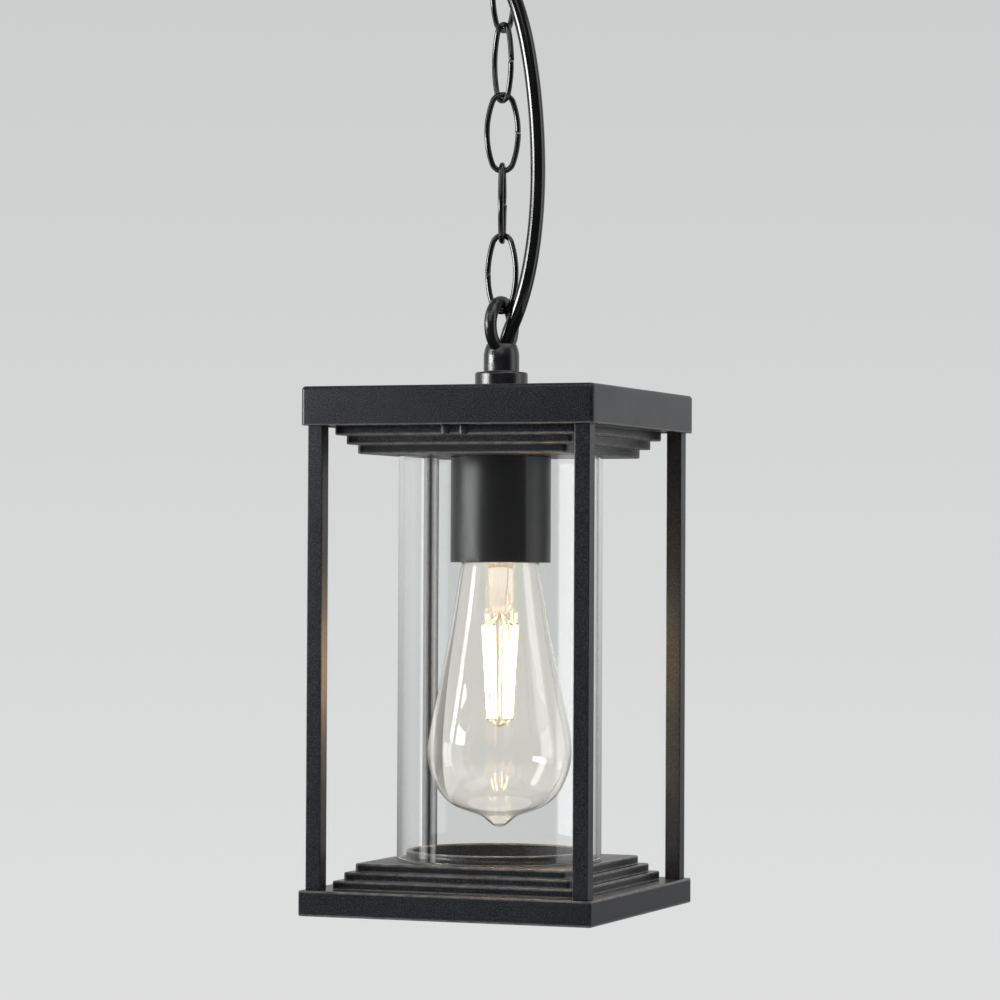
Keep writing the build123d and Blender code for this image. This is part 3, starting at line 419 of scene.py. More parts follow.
def turned(profile, closed=True, at=(0.0, 0.0), round_steps=0):
    """Shell of a profile taken round the plumb line at a place: with round_steps as circles of
    that many points, and without as rounded squares with circles between them."""
    points, faces, wear_and_highlight = [], [], []
    angles = RING_ANGLES
    if round_steps:
        angles = [2 * math.pi * k / round_steps for k in range(round_steps)]
    for out, z, plan, edge in profile:
        if plan is None:
            ring = [(out * math.cos(a), out * math.sin(a)) for a in angles]
        else:
            ring = square_ring(out, plan)
        points += [(x + at[0], y + at[1], z) for x, y in ring]
        wear_and_highlight += [edge] * len(ring)
    count, rows = len(angles), len(profile)
    for row in range(rows if closed else rows - 1):
        a, b = row * count, (row + 1) % rows * count
        for k in range(count):
            n = (k + 1) % count
            faces.append((a + k, a + n, b + n, b + k))
    if not closed:
        faces.append(tuple(range(count))[::-1])
        faces.append(tuple((rows - 1) * count + k for k in range(count)))
    return points, faces, wear_and_highlight


def tube(line, radii, sides, wear_and_highlight=None):
    """Shell of a round bar along an open line, carried along it without twist."""
    line = [Vector(p) for p in line]
    count = len(line)
    points, faces = [], []
    across = None
    last = None
    for i, p in enumerate(line):
        near, far = line[max(i - 1, 0)], line[min(i + 1, count - 1)]
        for reach in range(2, 6):
            if (far - near).length > SAME_POINT:
                break
            near, far = line[max(i - reach, 0)], line[min(i + reach, count - 1)]
        ahead = (far - near).normalized()
        if across is None:
            across = ahead.orthogonal().normalized()
        else:
            across = last.rotation_difference(ahead) @ across
            across = (across - ahead * across.dot(ahead)).normalized()
        last = ahead
        other = ahead.cross(across)
        for k in range(sides):
            a = 2 * math.pi * k / sides
            points.append(p + radii[i] * (math.cos(a) * across + math.sin(a) * other))
    for i in range(count - 1):
        a, b = i * sides, (i + 1) * sides
        for k in range(sides):
            n = (k + 1) % sides
            faces.append((a + k, a + n, b + n, b + k))
    faces.append(tuple(range(sides))[::-1])
    faces.append(tuple((count - 1) * sides + k for k in range(sides)))
    values = wear_and_highlight or [0.0] * count
    return [tuple(p) for p in points], faces, [v for v in values for _ in range(sides)]


CASTING_VOXEL = 0.24 * MM
CASTING_ROUNDS = 6


def softened(name, node, body, slot):
    """The CAD casting with every edge and join softly rounded, as it leaves its mould."""
    source = bpy.data.objects.new(name + "_source", frame["nodes"][node].data.copy())
    scene.collection.objects.link(source)
    remesh = source.modifiers.new("remesh", "REMESH")
    remesh.mode = "VOXEL"
    remesh.voxel_size = CASTING_VOXEL
    smooth = source.modifiers.new("smooth", "SMOOTH")
    smooth.factor = 0.5
    smooth.iterations = CASTING_ROUNDS
    graph = bpy.context.evaluated_depsgraph_get()
    mesh = bpy.data.meshes.new_from_object(source.evaluated_get(graph))
    bpy.data.objects.remove(source)
    mesh.name = name
    mesh.materials.clear()
    mesh.materials.append(finishes[slot])
    mesh.polygons.foreach_set("use_smooth", [True] * len(mesh.polygons))
    obj = bpy.data.objects.new(name, mesh)
    scene.collection.objects.link(obj)
    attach(obj, body)
    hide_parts(node)


def levels(node):
    """A CAD node's lowest and highest level."""
    low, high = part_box(node)
    return low.z, high.z


# ---------------------------------------------------------------- camera
# The view's aim, sidestep and distance are in millimetres, and its lens in pixels.
PHOTO_WIDTH = 1000
LENS_PIXELS = 3802.5
YAW, PITCH, ROLL = (math.radians(a) for a in (21.019, 0.987, 0.282))
AIM_LEVEL = -303.6
SIDESTEP = 0.36
DISTANCE = 1690.6
camera = bpy.data.cameras.new("camera")
camera.sensor_width = 36.0
camera.lens = LENS_PIXELS * camera.sensor_width / PHOTO_WIDTH
camera.clip_start, camera.clip_end = 0.1, 60.0
viewer = bpy.data.objects.new("camera", camera)
scene.collection.objects.link(viewer)
ahead = Vector((
    -math.sin(YAW) * math.cos(PITCH), math.cos(YAW) * math.cos(PITCH), math.sin(PITCH)))
right = Vector((math.cos(YAW), math.sin(YAW), 0.0))
above = right.cross(ahead)
turned_right = right * math.cos(ROLL) + above * math.sin(ROLL)
turned_up = above * math.cos(ROLL) - right * math.sin(ROLL)
eye = Vector((0.0, 0.0, AIM_LEVEL)) * MM - SIDESTEP * MM * right - DISTANCE * MM * ahead
viewer.matrix_world = Matrix.Translation(eye) @ Matrix(
    (turned_right, turned_up, -ahead)).transposed().to_4x4()
scene.camera = viewer

# ---------------------------------------------------------------- cable
# The route's points are part.py's, in millimetres.
CABLE_DIAMETER = 6.6 * MM
CABLE_ROUTE = (
    (0.0, 0.0, -17.6), (0.0, 0.0, -44.0), (3.5, -9.5, -69.2), (12.2, -7.2, -91.21),
    (17.4, -5.6, -123.26), (19.2, -4.8, -159.2), (17.0, -4.6, -191.26), (10.8, -3.6, -216.7),
    (0.0, 0.0, -236.2), (0.0, 0.0, -257.8),
)
LINKS = range(1, 6)
link_middles = []
for number in LINKS:
    low, high = levels(f"chain_link_{number}")
    link_middles.append((low + high) / 2)
CABLE_SIDES = 40
CABLE_STEP = 0.8 * MM
FEWEST_STOPS = 8
TAIL = 4.6 * MM
TAIL_INSET = 0.2 * MM
TAIL_STOPS = 6
CABLE_SHARP = math.radians(50)


def cable_line():
    """Close points along the route's smooth line, read from its spline."""
    curve = bpy.data.curves.new("cable_route", "CURVE")
    curve.dimensions = "3D"
    curve.resolution_u = 40
    spline = curve.splines.new("NURBS")
    spline.points.add(len(CABLE_ROUTE) - 1)
    for point, place in zip(spline.points, CABLE_ROUTE):
        point.co = (*(c * MM for c in place), 1.0)
    spline.order_u = 3
    spline.use_endpoint_u = True
    holder = bpy.data.objects.new("cable_route", curve)
    scene.collection.objects.link(holder)
    graph = bpy.context.evaluated_depsgraph_get()
    mesh = bpy.data.meshes.new_from_object(holder.evaluated_get(graph))
    line = [v.co.copy() for v in mesh.vertices]
    bpy.data.objects.remove(holder)
    bpy.data.meshes.remove(mesh)
    return line


def along(line, travelled, distance):
    """Point of a line at a distance from its start."""
    i = int(np.clip(np.searchsorted(travelled, distance) - 1, 0, len(line) - 2))
    share = (distance - travelled[i]) / (travelled[i + 1] - travelled[i])
    return line[i].lerp(line[i + 1], min(max(share, 0.0), 1.0))


def cable_spans():
    """One span for each hinge, parted at the links' middles, with short thinner tails hidden in
    its neighbours."""
    line = cable_line()
    steps = [(b - a).length for a, b in zip(line, line[1:])]
    travelled = np.concatenate([[0.0], np.cumsum(steps)])
    cuts = [0.0]
    for middle in link_middles:
        i = next(k for k, p in enumerate(line) if p.z < middle)
        share = (line[i - 1].z - middle) / (line[i - 1].z - line[i].z)
        cuts.append(travelled[i - 1] + share * steps[i - 1])
    cuts.append(travelled[-1])
    radius = CABLE_DIAMETER / 2
    thin = radius - TAIL_INSET
    for k, (start, end) in enumerate(zip(cuts, cuts[1:])):
        count = max(FEWEST_STOPS, round((end - start) / CABLE_STEP))
        stretches = [(start, end, count, radius)]
        if k > 0:
            stretches.insert(0, (start - TAIL, start, TAIL_STOPS, thin))
        if k < len(LINKS):
            stretches.append((end, end + TAIL, TAIL_STOPS, thin))
        stops, radii = [], []
        for first, last, steps_in, thickness in stretches:
            stops += list(np.linspace(first, last, steps_in))
            radii += [thickness] * steps_in
        points = [along(line, travelled, d) for d in stops]
        span = piece(f"cable_span_{k + 1}", [tube(points, radii, CABLE_SIDES)], None,
                     "black_cable", f"cable_{k + 1}", flats=False)
        span.data.set_sharp_from_angle(angle=CABLE_SHARP)
        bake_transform(span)


cable_spans()

# ---------------------------------------------------------------- chain
WIRE = 1.25 * MM
link_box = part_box("chain_link_1")
LINK_HALF_LENGTH = (link_box[1].z - link_box[0].z) / 2 - WIRE
LINK_HALF_WIDTH = 6.95 * MM
END_RADIUS = 4.9 * MM
LINK_TURNS = (68.0, -37.0, 26.0, 105.0, 174.0)
LINK_SIDES = 28
SEAM_SIDE_STEPS = 14
PLAIN_SIDE_STEPS = 24
LINK_END_STEPS = 26
LINK_SHARP = math.radians(60)
SEAM = 0.24 * MM
SEAM_SHIFT = 0.2 * MM
SEAM_SPREAD = 0.3
SEAM_EASE = 5.0 * MM
CUT_CHAMFER = 0.18 * MM


def link_path():
    """Centre line of one link in the XZ plane, from one side of its seam round to the other,
    with the two cut ends a little out of line."""
    end_centre = LINK_HALF_LENGTH - END_RADIUS
    side = (end_centre**2 + LINK_HALF_WIDTH**2 - END_RADIUS**2) / (
        2 * (LINK_HALF_WIDTH - END_RADIUS))
    side_centre = side - LINK_HALF_WIDTH
    phi = math.atan2(end_centre, side_centre)
    seam = SEAM / 2 / side
    arcs = (
        (-side_centre, 0.0, side, seam, phi, SEAM_SIDE_STEPS),
        (0.0, end_centre, END_RADIUS, phi, math.pi - phi, LINK_END_STEPS),
        (side_centre, 0.0, side, math.pi - phi, math.pi + phi, PLAIN_SIDE_STEPS),
        (0.0, -end_centre, END_RADIUS, math.pi + phi, 2 * math.pi - phi, LINK_END_STEPS),
        (-side_centre, 0.0, side, -phi, -seam, SEAM_SIDE_STEPS),
    )
    line = []
    for x, z, radius, first, last, steps in arcs:
        for k in range(steps + 1):
            a = first + (last - first) * k / steps
            p = Vector((x + radius * math.cos(a), 0.0, z + radius * math.sin(a)))
            if not line or (p - line[-1]).length > SAME_POINT:
                line.append(p)
    made = []
    total = len(line)
    for i, p in enumerate(line):
        near = (line[0] - p).length if i < total / 2 else (line[-1] - p).length
        ease = max(0.0, 1.0 - near / SEAM_EASE) ** 2
        way = 1.0 if i < total / 2 else -1.0
        made.append(p + Vector((-SEAM_SPREAD * way, way, 0.0)) * SEAM_SHIFT * ease)
    return made


def chain_link(number, middle, turn):
    """A link of bent wire, its two cut ends chamfered and rubbed bright."""
    line = link_path()
    lead = (line[1] - line[0]).normalized() * CUT_CHAMFER
    tail = (line[-2] - line[-1]).normalized() * CUT_CHAMFER
    line = [line[0], line[0] + lead] + line[1:-1] + [line[-1] + tail, line[-1]]
    radii = [WIRE - CUT_CHAMFER] + [WIRE] * (len(line) - 2) + [WIRE - CUT_CHAMFER]
    wear_and_highlight = [1.0, 1.0] + [0.0] * (len(line) - 4) + [1.0, 1.0]
    place = Matrix.Translation((0.0, 0.0, middle)) @ Matrix.Rotation(math.radians(turn), 4, "Z")
    wire = tube([place @ p for p in line], radii, LINK_SIDES, wear_and_highlight)
    link = piece(f"link_wire_{number}", [wire], f"link_{number}", "black_chain",
                 f"chain_link_{number}", flats=False)
    link.data.set_sharp_from_angle(angle=LINK_SHARP)


for number, middle, turn in zip(LINKS, link_middles, LINK_TURNS):
    chain_link(number, middle, turn)

# ---------------------------------------------------------------- loops, body, cup and rose
# A half is half a square's width, a plan its corners' radius seen from above, and an edge the
# rounding of its edges.
softened("lantern_ring", "lantern_loop", "lantern", "black_casting")
softened("ceiling_ring", "ceiling_loop", "ceiling_fitting", "black_casting")

BODY_HALF = 67.5 * MM
WALL = 2.5 * MM
HOLE = 5.25 * MM
FINE = 0.3 * MM
CAP_PLAN = 1.8 * MM
CAP_EDGE = 1.6 * MM
SKIRT_HALF = 65.3 * MM
SKIRT_PLAN = 0.5 * MM
RIM_HALF = 65.1 * MM
RIM_PLAN = 0.3 * MM
RIM_LIFT = 0.5 * MM
RIM_HEIGHT = 4.0 * MM
STEP_HALVES = (56.6 * MM, 52.8 * MM, 49.0 * MM)
STEP_PLAN = 2.4 * MM
STEP_EDGE = 0.7 * MM
INNER_PLAN = 1.2 * MM
UPPER_STEP = 4.0 * MM
LOWER_STEP = 3.65 * MM
GROOVE_OUTER = 45.8 * MM
GROOVE_INNER = 43.2 * MM
GROOVE_DEPTH = 1.7 * MM
GROOVE_EDGE = 0.1 * MM
LUG = 1.9 * MM
LUG_SPACING = 4.2 * MM
LUG_CHAMFER = 0.15 * MM
LUG_ROOT = 0.1 * MM
LUG_DEPTH = 0.2 * MM
LUG_SIDES = 32
BASE_HEIGHT = 11.2 * MM
BASE_PLAN = 0.9 * MM
BASE_EDGE = 0.72 * MM
COLLAR = 41.2 * MM
COLLAR_BORE = 38.7 * MM
COLLAR_HEIGHT = 4.3 * MM
COLLAR_FOOT = 2.2 * MM
COLLAR_EDGE = 0.5 * MM
POST_HALF = 3.5 * MM
POST_PLAN = 0.5 * MM
POST_END_HALF = 3.42 * MM
POST_END_PLAN = 0.4 * MM
POST_CHAMFER = 0.15 * MM
CUP_RADIUS = 22.3 * MM
CUP_BORE = 21.1 * MM
CUP_ROOF = 2.0 * MM
CUP_SIDES = 128
CUP_EDGE = 0.5 * MM
LIP_BORE = 20.1 * MM
LIP_HEIGHT = 1.6 * MM
LIP_EDGE = 0.4 * MM
LIP_ROOT = 0.1 * MM
ROSE_RADIUS = 50.0 * MM
ROSE_BORE = 48.8 * MM
ROSE_WALL = 1.2 * MM
ROSE_EDGE = 0.25 * MM
ROSE_ROUND = 9.0 * MM
ROSE_INNER_ROUND = 7.8 * MM
ROSE_SIDES = 160
GLASS_RADIUS = 45.4 * MM
GLASS_BORE = 43.6 * MM
GLASS_EDGE = 0.5 * MM
GLASS_SIDES = 256


def roof():
    """The cap, open below, with the nipple's hole."""
    low, high = levels("roof_cap")
    ceiling = high - WALL
    corners = [
        (BODY_HALF, low, FINE, CAP_PLAN), (BODY_HALF, high, CAP_EDGE, CAP_PLAN),
        (HOLE, high, 0.0, None), (HOLE, ceiling, 0.0, None),
        (SKIRT_HALF, ceiling, FINE, SKIRT_PLAN), (SKIRT_HALF, low, FINE, SKIRT_PLAN),
    ]
    piece("roof_casting", [turned(rounded(corners))], "lantern", "black_powder_coat", "roof_cap")


def upper_steps():
    """The plate under the cap: its three steps, the groove that holds the glass, and the lugs."""
    low = levels("lampholder_cup")[1]
    lows = [low + 2 * UPPER_STEP, low + UPPER_STEP, low]
    rim_low = lows[0] + UPPER_STEP + RIM_LIFT
    rim_high = rim_low + RIM_HEIGHT
    corners = [(RIM_HALF, rim_high, FINE, RIM_PLAN), (RIM_HALF, rim_low, FINE, RIM_PLAN),
               (STEP_HALVES[0], rim_low, FINE, STEP_PLAN)]
    for half, step_low, inner in zip(STEP_HALVES, lows, (*STEP_HALVES[1:], None)):
        corners.append((half, step_low, STEP_EDGE, STEP_PLAN))
        if inner:
            corners.append((inner, step_low, FINE, STEP_PLAN))
    corners += [
        (GROOVE_OUTER, low, GROOVE_EDGE, None), (GROOVE_OUTER, low + GROOVE_DEPTH, 0.0, None),
        (GROOVE_INNER, low + GROOVE_DEPTH, 0.0, None), (GROOVE_INNER, low, GROOVE_EDGE, None),
        (HOLE, low, 0.0, None), (HOLE, low + WALL, 0.0, None),
    ]
    for i in (2, 1, 0):
        corners.append((STEP_HALVES[i] - WALL, lows[i] + WALL, FINE, INNER_PLAN))
        top = lows[i - 1] + WALL if i else rim_high
        corners.append((STEP_HALVES[i] - WALL, top, FINE, INNER_PLAN))
    shells = [turned(rounded(corners))]
    lug = [(LUG - LUG_CHAMFER, lows[0], None, 1.0), (LUG, lows[0] + LUG_CHAMFER, None, 0.6),
           (LUG, rim_low - LUG_ROOT, None, 0.0), (LUG, rim_low + LUG_DEPTH, None, 0.0)]
    for side in (-1, 1):
        for across in (-1, 1):
            place = (across * LUG_SPACING, side * STEP_HALVES[0])
            shells.append(turned(lug, closed=False, at=place, round_steps=LUG_SIDES))
    piece("upper_steps", shells, "lantern", "black_powder_coat", "top_plate")


def lower_steps():
    """The base: its three steps, the collar inside the glass, and the open middle."""
    low = levels("base_plate")[0]
    top = low + BASE_HEIGHT
    tops = [top + LOWER_STEP * (i + 1) for i in range(3)]
    corners = [(BODY_HALF, low, BASE_EDGE, BASE_PLAN), (BODY_HALF, top, BASE_EDGE, BASE_PLAN),
               (STEP_HALVES[0], top, FINE, STEP_PLAN)]
    for half, step_top, inner in zip(STEP_HALVES, tops, (*STEP_HALVES[1:], None)):
        corners.append((half, step_top, STEP_EDGE, STEP_PLAN))
        if inner:
            corners.append((inner, step_top, FINE, STEP_PLAN))
    rim = tops[2] + COLLAR_HEIGHT
    collar_low = low + COLLAR_FOOT
    corners += [
        (COLLAR, tops[2], 0.0, None), (COLLAR, rim, COLLAR_EDGE, None),
        (COLLAR_BORE, rim, COLLAR_EDGE, None), (COLLAR_BORE, collar_low, FINE, None),
        (COLLAR, collar_low, FINE, None), (COLLAR, tops[2] - WALL, 0.0, None),
    ]
    for i in (2, 1, 0):
        corners.append((STEP_HALVES[i] - WALL, tops[i] - WALL, FINE, INNER_PLAN))
        below = tops[i - 1] - WALL if i else top - WALL
        corners.append((STEP_HALVES[i] - WALL, below, FINE, INNER_PLAN))
    corners += [(SKIRT_HALF, top - WALL, FINE, SKIRT_PLAN), (SKIRT_HALF, low, FINE, SKIRT_PLAN)]
    piece("lower_steps", [turned(rounded(corners))], "lantern", "black_powder_coat", "base_plate")


def posts():
    """Four square posts, alike apart from their places."""
    low, high = levels("post_front_left")
    for name in ("front_left", "rear_left", "front_right", "rear_right"):
        first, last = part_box("post_" + name)
        at = ((first.x + last.x) / 2, (first.y + last.y) / 2)
        corners = [
            (POST_END_HALF, low, 0.0, POST_END_PLAN),
            (POST_HALF, low + POST_CHAMFER, 0.0, POST_PLAN),
            (POST_HALF, (low + high) / 2, 0.0, POST_PLAN),
            (POST_HALF, high - POST_CHAMFER, 0.0, POST_PLAN),
            (POST_END_HALF, high, 0.0, POST_END_PLAN),
        ]
        piece("square_post_" + name, [turned(rounded(corners, closed=False), closed=False, at=at)],
              "lantern", "black_powder_coat", "post_" + name)


def cup():
    """The sleeve round the lampholder, with a lip inside its mouth."""
    low, high = levels("lampholder_cup")
    roof_low = high - CUP_ROOF
    lip = low + LIP_HEIGHT
    corners = [
        (HOLE, high, 0.0, None), (CUP_RADIUS, high, FINE, None),
        (CUP_RADIUS, low, CUP_EDGE, None), (LIP_BORE, low, LIP_EDGE, None),
        (LIP_BORE, lip, FINE, None), (CUP_BORE, lip, LIP_ROOT, None),
        (CUP_BORE, roof_low, FINE, None), (HOLE, roof_low, 0.0, None),
    ]
    piece("holder_cup", [turned(rounded(corners), round_steps=CUP_SIDES)], "lantern",
          "black_powder_coat", "lampholder_cup", finish="cup_coat")


def rose():
    """The spun cover against the ceiling."""
    face = levels("ceiling_rose")[0]
    corners = [
        (HOLE, face, 0.0, None), (ROSE_RADIUS, face, ROSE_ROUND, None),
        (ROSE_RADIUS, 0.0, ROSE_EDGE, None), (ROSE_BORE, 0.0, ROSE_EDGE, None),
        (ROSE_BORE, face + ROSE_WALL, ROSE_INNER_ROUND, None), (HOLE, face + ROSE_WALL, 0.0, None),
    ]
    piece("rose_cover", [turned(rounded(corners, steps=10), round_steps=ROSE_SIDES)],
          "ceiling_fitting", "black_powder_coat", "ceiling_rose")


def lantern_glass():
    """The clear cylinder, with fire-polished ends."""
    low, high = levels("glass_cylinder")
    corners = [(GLASS_RADIUS, low, GLASS_EDGE, None), (GLASS_RADIUS, high, GLASS_EDGE, None),
               (GLASS_BORE, high, GLASS_EDGE, None), (GLASS_BORE, low, GLASS_EDGE, None)]
    piece("glass_sleeve", [turned(rounded(corners, steps=6), round_steps=GLASS_SIDES)], "lantern",
          "lantern_glass", "glass_cylinder")


roof()
upper_steps()
lower_steps()
posts()
cup()
rose()
lantern_glass()

# ---------------------------------------------------------------- bulb
# Outlines are (depth, radius) in millimetres: the necks' under the lower end of the bulb's cap,
# the others' under the cup's mouth.
mouth = levels("lampholder_cup")[0]
cap_end = levels("bulb_cap")[0]
AXIS_GAP = 0.02 * MM
BULB_WALL = 0.7 * MM
TIP_WALL = 1.9
TIP_START = 0.9
TIP_SWELL = 0.9
TIP_RATE = 10
TIP_CLEARANCE = 0.4 * MM
BULB_SIDES = 160
BULB_STEPS = 8
BULB_NECK = ((-1.4, 12.85), (0.2, 12.85), (1.6, 13.6))
BULB_OUTLINE = (
    (-3.0, 15.6), (0.0, 17.2), (28.0, 21.8), (60.0, 27.9), (84.0, 32.0), (99.5, 27.9),
    (107.6, 20.3), (112.0, 8.8), (114.6, 5.2), (116.6, 2.6), (117.3, 0.0),
)
STEM_NECK = ((-0.9, 11.6), (0.6, 11.5), (3.2, 8.6))
STEM_OUTLINE = ((0.0, 6.2), (6.0, 5.6), (15.0, 5.3), (19.5, 4.4), (22.4, 3.0), (23.0, 0.02))
STEM_SIDES = 64
STEM_STEPS = 6
PINCH_START = 10.0 * MM
PINCH_LENGTH = 9.0 * MM
PINCH_WIDER = 0.12
PINCH_FLATTER = 0.5


def outline(table, level):
    """The (radius, level) points of a table of (depth, radius) under a level."""
    return [Vector((radius * MM, level - depth * MM)) for depth, radius in table]


def smooth_line(points, steps):
    """Points on a smooth curve through the given ones, square to the axis where it meets it."""
    first = points[0] - (points[1] - points[0])
    last = Vector((-points[-2].x, points[-2].y))
    held = [first] + points + [last]
    line = []
    for a, b, c, d in zip(held, held[1:], held[2:], held[3:]):
        for k in range(steps):
            t = k / steps
            line.append(0.5 * ((2 * b) + (c - a) * t + (2 * a - 5 * b + 4 * c - d) * t * t
                               + (3 * b - a - 3 * c + d) * t**3))
    return line + [points[-1]]


def envelope():
    """Thin blown shell: the outline from neck to sealed tip, and the same line a wall further in,
    thicker towards the tip."""
    points = outline(BULB_NECK, cap_end) + outline(BULB_OUTLINE, mouth)
    outer = smooth_line(points, BULB_STEPS)
    inner = []
    for i, p in enumerate(outer):
        along_side = outer[min(i + 1, len(outer) - 1)] - outer[max(i - 1, 0)]
        normal = Vector((along_side.y, -along_side.x)).normalized()
        near_tip = max(0.0, (i / len(outer) - TIP_START) * TIP_RATE)
        wall = BULB_WALL * (1.0 + TIP_SWELL * near_tip)
        inner.append(Vector((max(p.x + normal.x * wall, 0.0), p.y + normal.y * wall)))
    tip = outer[-1].y + BULB_WALL * TIP_WALL
    inner = [p for p in inner if p.x > TIP_CLEARANCE and p.y > tip] + [Vector((AXIS_GAP, tip))]
    outer[-1] = Vector((AXIS_GAP, outer[-1].y))
    outside = [(p.x, p.y, None, 0.0) for p in outer]
    inside = [(p.x, p.y, None, 0.0) for p in reversed(inner)]
    piece("bulb_envelope", [lathed(outside, inside, BULB_SIDES)], "bulb", "bulb_glass",
          "bulb_glass", flats=False)


def lathed(outside, inside, steps):
    """Shell between two outlines, one down to the axis and one back up, joined at the neck."""
    points, faces, wear_and_highlight = turned(outside, closed=False, round_steps=steps)
    # turned() closes both ends: the neck's is dropped here, and the tip's is kept.
    faces = faces[:-2] + faces[-1:]
    start = len(points)
    more_points, more_faces, more_wear_and_highlight = turned(inside, closed=False, round_steps=steps)
    more_faces = more_faces[:-1]
    faces += [tuple(start + i for i in face) for face in more_faces]
    neck_in = start + (len(inside) - 1) * steps
    for k in range(steps):
        n = (k + 1) % steps
        faces.append((neck_in + k, neck_in + n, n, k))
    return points + more_points, faces, wear_and_highlight + more_wear_and_highlight


def stem():
    """Flared glass stem, pinched at its end round the lead wires."""
    given = outline(STEM_NECK, cap_end) + outline(STEM_OUTLINE, mouth)
    line = smooth_line(given, STEM_STEPS)
    profile = [(p.x, p.y, None, 0.0) for p in line]
    points, faces, wear_and_highlight = turned(profile, closed=False, round_steps=STEM_SIDES)
    pinched = []
    for x, y, z in points:
        share = min(max((mouth - PINCH_START - z) / PINCH_LENGTH, 0.0), 1.0)
        pinched.append((x * (1 + PINCH_WIDER * share), y * (1 - PINCH_FLATTER * share), z))
    piece("glass_stem", [(pinched, faces, wear_and_highlight)], "bulb", "bulb_glass", "bulb_stem",
          finish="stem_glass", flats=False)


FILAMENTS = 6
FILAMENT_ENDS = ((28.0, 7.6), (69.0, 5.2))
FILAMENT_RADIUS = 0.62 * MM
FILAMENT_SIDES = 16
# A filament's rounded end, as (millimetres in from it, share of the radius).
FILAMENT_TIP = ((0.0, 0.5), (0.25, 0.8), (0.6, 0.97), (0.9, 1.0))
BEADS = 12
BEAD_DIP = 0.03
PINCH_END = 22.4 * MM
FOOT_DEPTH = 73.0 * MM
POST_WIRE = 0.45 * MM
POST_WIRE_STEPS = 8
POST_WIRE_SIDES = 14
SPOKE_WIRE = 0.34 * MM
SPOKE_SIDES = 12
SPOKE_STEPS = 10
SPOKE_LIFTS = (0.8 * MM, 0.5 * MM)
SPOKE_SAGS = (1.6, 0.9)
SPOKE_BEND = 0.55
SPOKE_STANDOFF = 0.6 * MM
SPOKE_BITE = 0.3 * MM
FERRULE_RADII = (0.55 * MM, 0.75 * MM, 0.8 * MM)
FERRULE_OVERHANG = 0.5 * MM
FERRULE_BITE = 0.2 * MM
FERRULE_SIDES = 14


def filament_ends(index):
    """Top and foot of one filament; they stand in a ring that narrows downwards."""
    angle = math.radians(360 / FILAMENTS * (index + 0.5))
    return [Vector((p.x * math.cos(angle), p.x * math.sin(angle), p.y))
            for p in outline(FILAMENT_ENDS, mouth)]


def filaments():
    """Straight LED sticks, coated in phosphor that dips a little between the chips."""
    shells = []
    for index in range(FILAMENTS):
        top, foot = filament_ends(index)
        lead = (foot - top).normalized()
        line, radii = [], []
        for back, share in FILAMENT_TIP:
            line.append(top + lead * back * MM)
            radii.append(FILAMENT_RADIUS * share)
        for k in range(1, BEADS):
            line.append(top.lerp(foot, k / BEADS))
            radii.append(FILAMENT_RADIUS * (1.0 - BEAD_DIP * (k % 2)))
        for back, share in reversed(FILAMENT_TIP):
            line.append(foot - lead * back * MM)
            radii.append(FILAMENT_RADIUS * share)
        shells.append(tube(line, radii, FILAMENT_SIDES))
    piece("led_filaments", shells, "bulb", "led_filament", "bulb_filaments", flats=False)


def supports():
    """The centre post from the pinch to the foot, and a curved spoke with a ferrule from it to
    each end of each filament."""
    pinch = mouth - PINCH_END
    foot_level = mouth - FOOT_DEPTH
    post = [Vector((0.0, 0.0, pinch + (foot_level - pinch) * k / POST_WIRE_STEPS))
            for k in range(POST_WIRE_STEPS + 1)]
    shells = [tube(post, [POST_WIRE] * len(post), POST_WIRE_SIDES)]
    for index in range(FILAMENTS):
        top, foot = filament_ends(index)
        up = (top - foot).normalized()
        for end, lead, root, lift, sag in zip(
                (top, foot), (up, -up), (pinch, foot_level), SPOKE_LIFTS, SPOKE_SAGS):
            start = Vector((0.0, 0.0, root + lift))
            outside = end + lead * SPOKE_STANDOFF
            bend = start.lerp(outside, SPOKE_BEND) + Vector((0.0, 0.0, -sag * MM))
            line = []
            for k in range(SPOKE_STEPS + 1):
                t = k / SPOKE_STEPS
                line.append(start * (1 - t) ** 2 + bend * 2 * t * (1 - t) + outside * t * t)
            line.append(end - lead * SPOKE_BITE)
            shells.append(tube(line, [SPOKE_WIRE] * len(line), SPOKE_SIDES))
            ferrule = [outside + lead * FERRULE_OVERHANG, outside, end - lead * FERRULE_BITE]
            shells.append(tube(ferrule, FERRULE_RADII, FERRULE_SIDES))
    piece("filament_wires", shells, "bulb", "nickel", "bulb_supports", flats=False)


envelope()
stem()
filaments()
supports()

# ---------------------------------------------------------------- carried-over CAD nodes
slots = {part["node"]: part["material_slot"] for part in frame["record"]["subparts"]}
for node, obj in frame["nodes"].items():
    if obj.hide_render:
        continue
    material = finishes[slots[node]]
    if obj.material_slots:
        for holder in obj.material_slots:
            holder.material = material
    else:
        obj.data.materials.append(material)

# ---------------------------------------------------------------- room and light
ROOM_TONE = (0.74, 0.745, 0.745)
HIGH_TONE = (0.34, 0.345, 0.35)
LOW_TONE = (0.2, 0.2, 0.205)
DIM_TONE = (0.05, 0.053, 0.06)
# Each fade runs between two values of a direction's level, or of its turn to the front.
HIGH_FADE = (-0.12, 0.7)
HORIZON_FADE = (-0.1, 0.02)
FRONT_FADE = (-0.5, 0.5)
FILL_TONE = (0.97, 0.985, 1.0)
FILL_STRENGTH = 0.5
FLOOR_TONE = (0.72, 0.725, 0.725)
FLOOR_LEVEL = -0.82
FLOOR_RADIUS = 2.0
FLOOR_SOLID = 0.7
FLOOR_SIDES = 96
FLOOR_ROUGHNESS = 0.9


